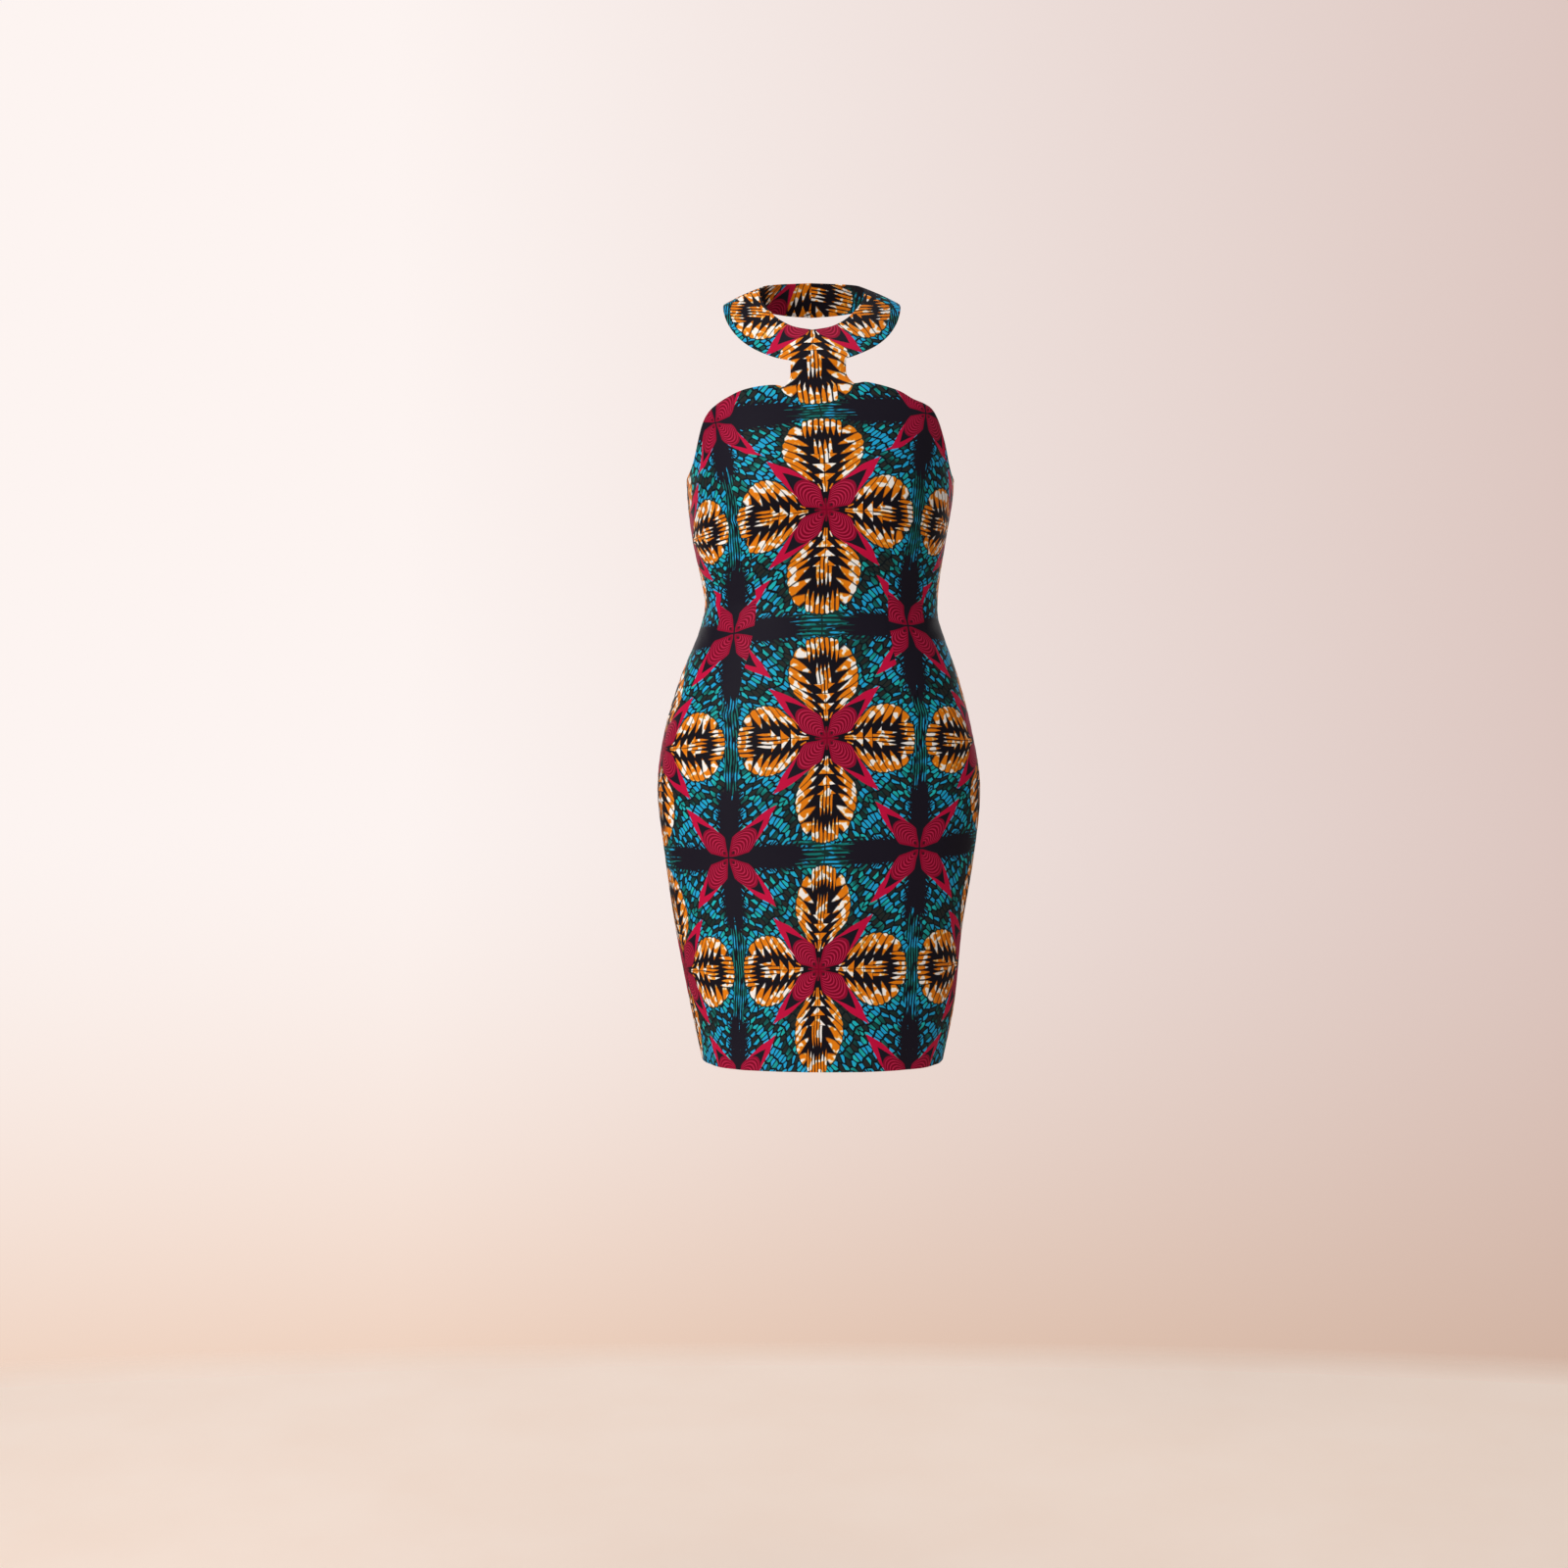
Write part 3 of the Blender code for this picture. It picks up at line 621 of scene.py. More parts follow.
def frontShell(finish):
    # the body, whose middle columns go on up the tab
    turns, sides = tab["turns"], [*np.radians(bodice["frontTurns"])]
    sides = sorted(sides + [darts["front"]["turn"], darts["side"]["turn"]])
    pairs = zip(turns, turns[1:])
    middle = np.concatenate([*(steps(*pair, tab["parts"])[:-1] for pair in pairs), turns[-1:]])
    right = fine([-side for side in sides[::-1]] + [middle[0]], bodice["frontRate"])[:-1]
    left = fine([middle[-1], *sides], bodice["frontRate"])[1:]
    turns = np.concatenate([right, middle, left])
    z = panelHeights(turns, bodice["rowsAbove"]["front"], bodice["hemLift"])
    turn = np.broadcast_to(turns, z.shape)
    spots, normals = onBody(turn, z)
    flat = frontFlat(turn, z)
    numbers = numbered(z.shape)

    # the collar's front, whose middle columns come down to the tab
    heads = steps(tab["x"] - tab["half"], tab["x"] + tab["half"], len(middle) - 1)
    rimTurns = np.arcsin(heads / ringRows["rimRadius"][0])
    before = fine([collar["shoulderRight"], rimTurns[0]], collar["frontRate"])[:-1]
    after = fine([rimTurns[-1], collar["shoulderLeft"]], collar["frontRate"])[1:]
    ring, ringNormals = bandGrid(np.concatenate([before, rimTurns, after]))
    ringNumbers = numbered(ring.shape, numbers.size)

    # the tab
    columns = slice(len(right), len(right) + len(middle))
    over = slice(len(before), len(before) + len(middle))
    foot = spots[-1, columns], normals[-1, columns]
    ladder, ladderNormals = tabGrid(*foot, ring[0, over], ringNormals[0, over])
    ladderNumbers = numbered(ladder.shape, numbers.size + ringNumbers.size)

    # flat: the collar lies a tab's length above the body
    mid = len(middle) // 2
    path = np.concatenate([foot[0][mid : mid + 1], ladder[:, mid], ring[:1, over][:, mid]])
    footU, footV = ring[0, over][mid, 0] - printRows["centre"][0], flat[-1, columns][mid, 1]
    at = footU, footV + np.linalg.norm(np.diff(path, axis=0), axis=-1).sum()
    ringFlat = frontCollarFlat(ring, over.start + mid, at, footV)
    share = tab["shares"][:, None, None]
    ladderFlat = flat[-1, columns] * (1 - share) + ringFlat[0, over] * share

    points = listed(3, spots, ring, ladder)
    bodyQuads = grids(numbers)
    tabQuads = grids([numbers[-1, columns], *ladderNumbers, ringNumbers[0, over]])
    quads = np.concatenate([bodyQuads, grids(ringNumbers), tabQuads])
    corners = listed(2, flat, ringFlat, ladderFlat)[quads]
    for side in (-1, 1):
        for name in ("front", "side"):
            closeDart(corners, bodyQuads, turns, points[:, 2], darts[name], side, after=side > 0)
    top, rim = numbers[-1], ringNumbers[0]
    rightCutout = [top[: columns.start + 1], ladderNumbers[:, 0], rim[over.start :: -1]]
    leftCutout = [rim[: over.stop - 2 : -1], ladderNumbers[::-1, -1], top[columns.stop - 1 :]]
    runs = [np.concatenate(rightCutout), np.concatenate(leftCutout), ringNumbers[-1]]
    outs = listed(3, normals, ringNormals, ladderNormals)
    inside = hemInside(z, ring[..., 2], ladder[..., 2])
    return shell("front_cloth", points, outs, quads, corners, runs, finish, inside)


def backShell(side, finish):
    turns = fine(sorted([*np.radians(bodice["backTurns"]), darts["back"]["turn"]]), bodice["backRate"])
    z = panelHeights(turns, bodice["rowsAbove"]["back"])[:, ::side]
    turn = np.broadcast_to(turns * side, z.shape)[:, ::side]
    spots, normals = onBody(turn, z)
    numbers = numbered(z.shape)
    quads = grids(numbers)
    corners = listed(2, backFlat(turn, z, side))[quads]
    closeDart(corners, quads, turn[0], z.ravel(), darts["back"], side, after=side < 0)
    name, flats = f"back_{sideNames[side]}_cloth", (listed(3, spots), listed(3, normals))
    return shell(name, *flats, quads, corners, [numbers[-1]], finish, hemInside(z))


def collarShell(side, finish):
    ends = (collar["shoulderLeft"], pi) if side > 0 else (-pi, collar["shoulderRight"])
    spots, normals = bandGrid(fine(ends, collar["backRate"]))
    numbers = numbered(spots.shape)
    quads = grids(numbers)
    flat = unroll(spots[:, ::side], *collarPrint["backFrom"][side])[:, ::side]
    name = f"collar_back_{sideNames[side]}_cloth"
    runs = [numbers[0], numbers[-1]]
    return shell(name, listed(3, spots), listed(3, normals), quads, listed(2, flat)[quads], runs, finish)


class Wire:
    # one output of a node, which Python's operators join to Math nodes
    def __init__(self, maker, socket):
        self.maker, self.socket = maker, socket

    def __getitem__(self, output):  # another output of the same node
        return Wire(self.maker, self.socket.node.outputs[output])

    def maths(self, operation, *others, clamp=False):
        settings = {"operation": operation, "use_clamp": clamp}
        return self.maker.node("ShaderNodeMath", settings, dict(enumerate([self, *others])))

    __add__ = __radd__ = partialmethod(maths, "ADD")
    __sub__ = partialmethod(maths, "SUBTRACT")
    __mul__ = __rmul__ = __and__ = partialmethod(maths, "MULTIPLY")  # & is both of two masks
    __truediv__ = partialmethod(maths, "DIVIDE")
    __abs__ = partialmethod(maths, "ABSOLUTE")
    __gt__ = partialmethod(maths, "GREATER_THAN")
    __or__ = most = partialmethod(maths, "MAXIMUM")  # | is either of two masks
    least = partialmethod(maths, "MINIMUM")
    fold = partialmethod(maths, "PINGPONG")  # how far from a multiple of twice the width given
    part = partialmethod(maths, "FRACT")
    root = partialmethod(maths, "SQRT")
    sine = partialmethod(maths, "SINE")
    power = partialmethod(maths, "POWER")
    clamped = partialmethod(maths, "ADD", 0, clamp=True)

    def __rsub__(self, other):
        return (self * -1) + other

    def __rtruediv__(self, other):
        return self.power(-1) * other

    def edge(self, soft=0.5):  # 0 outside and 1 inside of a distance in millimetres
        return self.maths("MULTIPLY_ADD", 1 / soft, 0.5, clamp=True)

    def blend(self, under, over):  # one number over another, by this mask
        return under + (over - under) * self

    def mix(self, under, over):  # and one colour over another
        return self.maker.node("ShaderNodeMix", {"data_type": "RGBA"}, {0: self, 6: under, 7: over})[2]


def hexColour(code):
    # a screen colour as linear light
    parts = [int(code[i : i + 2], 16) / 255 for i in (0, 2, 4)]
    return *(c / 12.92 if c <= 0.04045 else ((c + 0.055) / 1.055) ** 2.4 for c in parts), 1


class Nodes:
    # a tree of nodes in the making
    def __init__(self, tree):
        self.tree = tree
        tree.nodes.clear()

    def node(self, kind, settings=None, sockets=None):
        # adds a node and gives its first output; a text in a socket is a colour
        made = self.tree.nodes.new(kind)
        for key, value in (settings or {}).items():
            if key == "stops":
                ramp = made.color_ramp
                while len(ramp.elements) < len(value):
                    ramp.elements.new(1)
                for element, (place, code) in zip(ramp.elements, value):
                    element.position, element.color = place, hexColour(code)
            else:
                setattr(made, key, value)
        for key, value in (sockets or {}).items():
            if isinstance(value, Wire):
                self.tree.links.new(value.socket, made.inputs[key])
            else:
                made.inputs[key].default_value = hexColour(value) if isinstance(value, str) else value
        return Wire(self, made.outputs[0]) if made.outputs else None


class Finish(Nodes):
    # the nodes of a material, or of the world
    def __init__(self, name, kind="materials"):
        self.holder = getattr(bpy.data, kind).new(name)
        self.holder.use_nodes = True
        super().__init__(self.holder.node_tree)

    def noise(self, vector, scale, detail=1.0, dimensions="2D"):
        sockets = {"Vector": vector, "Scale": scale, "Detail": detail}
        return self.node("ShaderNodeTexNoise", {"noise_dimensions": dimensions}, sockets)

    def place(self):
        return self.node("ShaderNodeTexCoord")["Object"]

    def grain(self, scale, detail=2.0):
        # unevenness all through a piece
        return self.noise(self.place(), scale, detail, "3D")

    def axes(self, vector):
        return self.node("ShaderNodeSeparateXYZ", None, {0: vector})

    def pair(self, x, y):
        return self.node("ShaderNodeCombineXYZ", None, {0: x, 1: y})

    def ramp(self, value, places, codes):
        return self.node("ShaderNodeValToRGB", {"stops": list(zip(places, codes))}, {0: value})

    def surface(self, colour, rough, others=None, bump=None):
        sockets = {"Base Color": colour, "Roughness": rough} | (others or {})
        if bump:
            values = dict(zip(("Strength", "Distance", "Height"), bump))
            sockets["Normal"] = self.node("ShaderNodeBump", None, values)
        shader = self.node("ShaderNodeBsdfPrincipled", None, sockets)
        self.node("ShaderNodeOutputMaterial", None, {"Surface": shader})
        return self.holder


wax = {  # the print, in millimetres
    "across": 214.0,
    "down": 253.5,
    "wander": (30.0, 3.6),  # unevenness of its lines: how fine, and how far
    "petal": (66.0, 33.5, 40.0),  # middle, half length and half width
    "wedge": (6, 0.76, 47),  # its inner end: from, flare and to
    "scallop": (0.8, 2.4),  # its edge between stripes: how far out, and how deep
    "notch": (4.6, 1.7),  # beside the crown: depth and steepness
    "crown": (18.6, 74, 5.3),  # the stripes at its tip: half width, from, and spacing
    "crownPoints": (84, 9, 0.68),  # where they come to points, over what length, and their share
    "fanFocus": (122.0, 130.6),  # the side stripes fan out round this
    "fan": (0.329, 7.97, 9.29),  # where they start, and how they spread
    "fanShare": 0.84,
    "arrows": (28.5, 61.2, 10.9),  # up its middle: from, to and spacing
    "neck": (20, 31),
    "shafts": (4.6, 0.62),  # fine lines past the arrowheads: spacing and share
    "shaftPlaces": ((9.2, 61.5), (4.7, 51)),  # half width and from
    "armUp": (13.5, 80.0, 0.86, 18),  # the star's arms: half width, reach, and where they taper
    "armSide": (14.5, 88.0, 0.84, 20),
    "armTaper": 8,
    "barb": 5,
    "fray": (34, 0.42, 0.03),  # how far, and how fine across and along
    "bar": (4.7, 10.0),  # width and length of the ground's bars
    "ground": ("moss", "green", "teal", "turquoise", "blue"),
    "groundFrom": (0.16, 0.25, 0.36, 0.47, 0.59),  # share of the bars up to each of these
    "outline": ((0.145, "green"), (0.09, "navy")),  # round each bar: share of its width
    "barLean": radians(40),
    "flowerLeaf": {"long": 83.5, "turn": radians(44.6), "lobe": 21.7, "flat": 0.61, "spread": 0.63},
    "starLeaf": {"long": 77.5, "turn": radians(43.0), "lobe": 21.2, "flat": 0.58, "spread": 0.62},
    "hollow": 0.737,  # how far up a leaf its dark middle reaches
    "arcEvery": 2.1,
    "flower": ("orange", "amber", "cream"),
    "flowerFrom": (0.505, 0.55, 0.60),
    "rays": (1.0, 13.0),  # half width and reach, at the flower's middle
    "heart": 40,  # the black behind the petals
    "eased": (58, 16),  # the cloth is eased at the chest: from how far up, and over what length
    "black": "1b1722",
    "ink": "130f17",
    "orange": "ea800e",
    "amber": "f9bc4c",
    "cream": "fff8f0",
    "crimson": "94072e",
    "arc": "7e0325",
    "vein": "ba2148",
    "red": "c60d3f",
    "blue": "22a9dc",
    "turquoise": "20bebc",
    "teal": "127a74",
    "green": "15302e",
    "moss": "282a28",
    "navy": "100f18",
}


def stripes(wire, duty):
    # 1 on stripes of a unit period, duty wide, which come to points where the duty falls to nothing
    found = ((abs(wire.part() - 0.5) * -2 + duty) * 4 + 0.5).clamped()
    return found & (duty * 7).clamped() if isinstance(duty, Wire) else found


def between(wire, low, high):
    return (wire - low).edge(0.7) & (high - wire).edge(0.7)


def petal(s, w):
    # s runs out along the petal and w to its side; gives its outline and its stripes
    middle, long, wide = wax["petal"]
    crownHalf, crownFrom, crownEvery = wax["crown"]
    start, spread, more = wax["fan"]
    crownLine = w / crownEvery + 0.5
    fan = (wax["fanFocus"][0] - s) / (wax["fanFocus"][1] - w) - start
    fanLine = fan * spread + fan * fan * more + 0.5
    onCrown = (crownHalf - w).edge() & (s - crownFrom).edge()
    bow = onCrown.blend(abs(fanLine.part() - 0.5), abs(crownLine.part() - 0.5))
    out, deep = wax["scallop"]
    notch, steep = wax["notch"]
    notch = (notch - abs(w - (crownHalf + 1)) * steep).most(0) & (s - crownFrom).edge()
    along, across = (s - middle) / long, w / wide
    ring = (1 - (along * along + across * across).root()) * (wide - 3) + (out - bow * deep) - notch
    low, flare, high = wax["wedge"]
    depth = ring.most(((s - low) * flare - w).least(high - s))
    # each stripe narrows to a point as it runs in
    points, over, share = wax["crownPoints"]
    crownDuty = ((s + w * 0.35 - points) / over).clamped() * share
    inner = (s * 0.24 + 4).least(31.9 - s * 0.24).least(17)
    fanDuty = ((w - inner + 1.5) / (s * 0.25 - 1.5).most(6)).clamped() * wax["fanShare"]
    striped = onCrown.blend(stripes(fanLine, fanDuty), stripes(crownLine, crownDuty))
    # arrowheads up the middle on a neck, then fine lines
    low, high, every = wax["arrows"]
    climb = ((s - low) / every).part() * every
    arrows = ((climb - 1.2) * (s * 0.0115 + 0.63) - w).edge() & between(s, low + 0.8, high)
    low, high = wax["neck"]
    neck = ((s - low) * 0.12 + 1.6 - w).edge() & between(s, low, high)
    barbs = between(w - (s - 23.5) * 0.5, 3.9, 5.4) & between(s, 23, 29)
    every, share = wax["shafts"]
    shafts = stripes(w / every, ((77 - s + w * 0.3) / 9).clamped() * share)
    broad, narrow = ((half - w).edge() & (s - low).edge() for half, low in wax["shaftPlaces"])
    inked = (broad | narrow).blend((arrows | neck | barbs) & (w - 0.4).edge(0.3), shafts)
    return depth, striped | inked


def leaf(x, y, shape):
    # one leaf along the diagonal of folded coordinates: its outline, and masks for its parts
    turn, long, lobeReach = shape["turn"], shape["long"], shape["lobe"]
    s = x * sin(turn) + y * cos(turn)
    w = abs(x * cos(turn) - y * sin(turn))
    flat = w / shape["flat"]
    r = (s * s + flat * flat) / (s.most(0.5) * 2)
    sides = s * shape["spread"] - w
    lobe = (lobeReach - r).edge(0.8) & sides.edge(0.6) & (s - 1.2).edge()
    left = (long - s).most(0)
    tip = (left * 0.32).least(left.power(0.6) * 1.08) - w
    outline = tip.edge() & (s - 24).edge() & (left - 1).edge()
    hollow = ((long * wax["hollow"] - s) * 0.4 - w).edge() & (r - lobeReach).edge(0.8) & (s - 36).edge()
    heart = (lobeReach - 1.2 - r).edge() & (sides - 2.0).edge()
    arcs = stripes(r / wax["arcEvery"], 0.42) & (r - 5).edge()
    seed = between(s, 6.5, 9) & (0.8 - w).edge()
    return lobe | outline, lobe, heart, arcs, hollow | seed


def leaves(under, x, y, shape, gap):
    body, lobe, heart, arcs, hollow = leaf(x, y, shape)
    red = lobe.mix(wax["red"], wax["crimson"])
    red = hollow.mix(heart.mix(red, arcs.mix(wax["arc"], wax["vein"])), wax["black"])
    return (body & (x.least(y) - gap).edge(0.6)).mix(under, red)


def waxGround(finish, flat, u, v, sa, sb, eased):
    # short bars that stream away from the star, outlined in dark
    far, near = sa.most(sb), sa.least(sb)
    lean, (barWide, barLong) = wax["barLean"], wax["bar"]
    q = far * cos(lean) - near * sin(lean)
    p = far * sin(lean) + near * cos(lean)
    sockets = {"Vector": finish.pair(q / barWide, p / barLong), "Scale": 1.0, "Randomness": 0.6}
    cells, borders = (
        finish.node("ShaderNodeTexVoronoi", {"voronoi_dimensions": "2D", "feature": feature}, sockets)
        for feature in ("F1", "DISTANCE_TO_EDGE")
    )
    choice = finish.node("ShaderNodeSeparateColor", None, {0: cells["Color"]})
    choice = choice + (finish.noise(flat, 24.0) - 0.5) * 0.9
    ground = finish.ramp(choice, wax["groundFrom"], [wax[dye] for dye in wax["ground"]])
    for near, dye in wax["outline"]:
        ground = ((near - borders["Distance"]) * 12 + 0.5).clamped().mix(ground, wax[dye])

    # level bars above and below the flowers, and upright lines beside them
    def comb(lines, dashes, length):
        broken = (finish.noise(finish.pair(lines * 1.3, dashes / length), 1.0) - 0.36) * 9
        return stripes(lines, 0.45) & broken.clamped()

    bars = comb(v / 4.7 + 0.25, u, 11.0) & (abs(u.fold(wax["across"] / 2)) - 0.8).edge()
    threads = comb(u / 3.2, v, 15.0)
    bright = ((finish.noise(flat, 60.0) - 0.50) * 8).clamped().mix(wax["teal"], wax["blue"])
    wander = (finish.noise(flat, 45.0) - 0.5) * 16
    level = (14 + wander - sb).edge(1) & (sa - 66 + wander).edge(1)
    upright = (8.5 + wander - sa).edge(1) & (sb - 72 + wander).edge(1)
    ground = level.mix(ground, bars.mix(wax["green"], bright))
    ground = upright.mix(ground, threads.mix(wax["navy"], bright))

    # the star's black arms, frayed at their ends and barbed along their sides
    barbs = (stripes(q / barWide, 0.5) - 0.5) * wax["barb"]
    fray, fine, coarse = wax["fray"]

    def arm(size, beside, out, fringe, more):
        half, long, taperFrom, taperLong = size
        taper = ((out - long * taperFrom) / taperLong).clamped() * wax["armTaper"]
        ragged = (finish.noise(finish.pair(*fringe), 1.0) - 0.5) * 2 * fray
        return (half + more + barbs - taper - beside).least(ragged + long - out).edge(1)

    armUp = arm(wax["armUp"], sa, sb, (u * fine, v * coarse), 0)
    armSide = arm(wax["armSide"], sb, sa, (u * coarse, v * fine), eased * 6)
    return (armUp | armSide).mix(ground, wax["black"])


def waxPrint():
    finish = Finish("wax_print")
    flat = finish.node("ShaderNodeUVMap", {"uv_map": "cloth"})
    scale, far = wax["wander"]
    places, shifts = finish.axes(flat), finish.axes(finish.noise(flat, scale)[1])
    u, v = (places[i] * (1 / mm) + (shifts[i] - 0.5) * far for i in (0, 1))
    a, b = u.fold(wax["across"] / 2), v.fold(wax["down"] / 2)
    sa, sb = wax["across"] / 2 - a, wax["down"] / 2 - b
    easedFrom, easedOver = wax["eased"]
    eased = ((v - easedFrom) / easedOver).clamped()
    colour = waxGround(finish, flat, u, v, sa, sb, eased)
    colour = leaves(colour, sa * (eased * 0.26 + 1), sb * (1 - eased * 0.1), wax["starLeaf"], 1.0)

    # the flower's petals, ringed with a thin dark green line
    upright = b > a
    narrow = v * 0.00046 + 0.97
    s = upright.blend(a, b.least(b * 0.73 + 16.7))
    w = upright.blend(b * 1.04, a / narrow)
    depth, striped = petal(s, w)
    dyes = [wax[dye] for dye in wax["flower"]]
    wash = finish.ramp(finish.noise(flat, 110.0), wax["flowerFrom"], dyes)
    colour = (wax["heart"] - (a * a + b * b).root()).edge(1).mix(colour, wax["black"])
    colour = (depth + 1.5).edge(1).mix(colour, wax["green"])
    colour = depth.edge().mix(colour, striped.mix(wax["ink"], wash))
    colour = leaves(colour, a, b, wax["flowerLeaf"], 0.3)
    half, reach = wax["rays"]
    rays = (half - a.least(b)).edge() & (reach - a.most(b)).edge(1)
    colour = rays.mix(colour, wax["arc"])

    # cotton: plain weave, slight unevenness of the dye, and a matt wax finish
    weave = (u * (tau / 0.55)).sine() * (v * (tau / 0.5)).sine()
    threads = weave * 0.5 + finish.noise(flat, 900.0, 2.0) * 1.4
    dye = finish.noise(flat, 14.0, 3.0)
    shade = finish.node("ShaderNodeHueSaturation", None, {"Value": dye * 0.22 + 0.89, "Color": colour})
    others = {"Specular IOR Level": 0.07, "Sheen Weight": 0.01}
    return finish.surface(shade, dye * 0.14 + 0.5, others, (0.16, 0.2 * mm, threads))


def threadFinish():
    finish = Finish("sewing_thread")
    fluff = finish.grain(1400.0)
    return finish.surface(fluff.mix("14302f", "2c5552"), 0.6, bump=(0.3, 0.1 * mm, fluff))


def tapeFinish():
    finish = Finish("zip_tape")
    axes = finish.axes(finish.place())
    ribs = (axes * (tau / (0.9 * mm))).sine() + (axes[2] * (tau / (1.1 * mm))).sine()
    colour = (ribs * 0.2 + finish.grain(600.0)).clamped().mix("0f2b2c", "1f4a4a")
    return finish.surface(colour, 0.75, bump=(0.4, 0.2 * mm, ribs))


def metalFinish():
    finish = Finish("lacquered_metal")
    scuff = finish.grain(350.0, 4.0)
    worn = ((scuff - 0.62) * 9).clamped()
    others = {"Metallic": worn * 0.3 + 0.7}
    bump = (0.15, 0.2 * mm, scuff)
    return finish.surface(worn.mix("12383a", "8c8f8a"), scuff * 0.3 + 0.2, others, bump)


def coilFinish():
    finish = Finish("zip_coil")
    grain = finish.grain(500.0)
    return finish.surface(grain.mix("123234", "1d4648"), grain * 0.2 + 0.25)


def stitchTree():
    # rounded stitches, end to end along the edges of a mesh
    tree = bpy.data.node_groups.new("stitches", "GeometryNodeTree")
    kinds = {"Geometry": "Geometry", "Spacing": "Float", "Size": "Vector", "Thread": "Material"}
    for key, kind in kinds.items():
        tree.interface.new_socket(key, in_out="INPUT", socket_type="NodeSocket" + kind)
    tree.interface.new_socket("Geometry", in_out="OUTPUT", socket_type="NodeSocketGeometry")
    nodes = Nodes(tree)
    asked = nodes.node("NodeGroupInput")
    line = nodes.node("GeometryNodeMeshToCurve", None, {0: asked["Geometry"]})
    sockets = {"Curve": line, "Length": asked["Spacing"]}
    spots = nodes.node("GeometryNodeResampleCurve", {"mode": "LENGTH"}, sockets)
    ball = nodes.node("GeometryNodeMeshUVSphere", None, {"Segments": 6, "Rings": 5, "Radius": 1.0})
    stitch = nodes.node("GeometryNodeTransform", None, {"Geometry": ball, "Scale": asked["Size"]})
    sockets = {"Vector": nodes.node("GeometryNodeInputTangent")}
    turned = nodes.node("FunctionNodeAlignRotationToVector", {"axis": "Z"}, sockets)
    sockets = {2: 0.9, 3: 1.08, "Seed": 7}
    uneven = nodes.node("FunctionNodeRandomValue", {"data_type": "FLOAT"}, sockets)[1]
    sockets = {"Points": spots, "Instance": stitch, "Rotation": turned, "Scale": uneven}
    sewn = nodes.node("GeometryNodeInstanceOnPoints", None, sockets)
    solid = nodes.node("GeometryNodeRealizeInstances", None, {0: sewn})
    smooth = nodes.node("GeometryNodeSetShadeSmooth", None, {0: solid})
    done = nodes.node("GeometryNodeSetMaterial", None, {0: smooth, "Material": asked["Thread"]})
    nodes.node("NodeGroupOutput", None, {0: done})
    return tree


def plain(name, guide):
    # what a guide gives, as a plain mesh, with the guide removed
    bpy.context.view_layer.update()
    mesh = bpy.data.meshes.new_from_object(guide.evaluated_get(bpy.context.evaluated_depsgraph_get()))
    mesh.name = name
    guide.modifiers.clear()
    bpy.data.objects.remove(guide)
    return placed(name, mesh)


def stitched(name, runs, size, thread, tree):
    # a row of stitches or teeth along each run of points; size is their spacing and half sizes
    verts, edges = [], []
    for run in runs:
        edges += [(len(verts) + i, len(verts) + i + 1) for i in range(len(run) - 1)]
        verts += [tuple(spot) for spot in run]
    mesh = bpy.data.meshes.new(name + "_line")
    mesh.from_pydata(verts, edges, [])
    guide = placed(name + "_line", mesh)
    maker = guide.modifiers.new("maker", "NODES")
    maker.node_group = tree
    sockets = {item.name: item.identifier for item in tree.interface.items_tree if item.in_out == "INPUT"}
    for key, value in zip(("Spacing", "Size", "Thread"), (*size, thread)):
        maker[sockets[key]] = value
    return plain(name, guide)


def hemRun(low, high):
    # where the hem's blind stitches catch the cloth's right side, between two angles in degrees
    turns = steps(radians(low), radians(high), sewing["hemParts"])
    spots, normals = onBody(turns, np.full_like(turns, bodice["hemZ"] + cloth["hemDeep"]))
    return spots + normals * proud


zipper = {
    "long": 380 * mm,
    "half": 12 * mm,
    "tape": 0.5 * mm,
    "gap": 0.9 * mm,
    "below": 1 * mm,  # from the backs' top edge to the tapes' ends
    "teeth": (1.25 * mm, (2.1 * mm, 0.42 * mm, 0.5 * mm)),
    "teethEnds": (4 * mm, 12 * mm),  # from the zip's lower end and the top edge
    "stitchOut": 6.5 * mm,
    "stitchEnds": (6 * mm, 2 * mm),  # past the zip's lower end, and from the top edge
    "parts": {"tape": 96, "teeth": 200, "stitch": 120},  # lengths that each line is made of
    "strips": 5,  # points across a tape
}


def backLine(x, heights, inward):
    # points at one distance from the centre back, behind the cloth's middle
    bend = bodice["backPower"] / 2
    half = along(bodyRows, "half", heights)
    turn = pi - np.arcsin((np.maximum(abs(x), 0.05 * mm) / half) ** bend)
    spots, normals = onBody(turn * (1 if x >= 0 else -1), heights)
    return spots - normals * inward, normals


def tapeShell(side, finish):
    half = zipper["tape"] / 2
    heights = steps(backTop - zipper["long"], backTop - zipper["below"], zipper["parts"]["tape"])
    inward = cloth["outside"] + cloth["seam"] + half
    distances = np.linspace(zipper["gap"] / 2, zipper["half"], zipper["strips"])[::-side]
    columns = zip(*(backLine(side * x, heights, inward) for x in distances))
    spots, normals = (np.stack(column, 1) for column in columns)
    quads = grids(numbered(spots.shape))
    spots, normals = listed(3, spots), listed(3, normals)
    edges, _ = outwards(spots, normals, quads)
    layers = [spots + normals * half, spots - normals * half]
    return closedSheet(f"zip_tape_{sideNames[side]}", layers, quads, edges, finish, sharp=40)


def coil(tree, finish):
    low, high = zipper["teethEnds"]
    heights = steps(backTop - zipper["long"] + low, backTop - high, zipper["parts"]["teeth"])
    inward = cloth["outside"] + cloth["seam"] + zipper["tape"] + zipper["teeth"][1][1]
    return stitched("zip_coil", [backLine(0, heights, inward)[0]], zipper["teeth"], finish, tree)


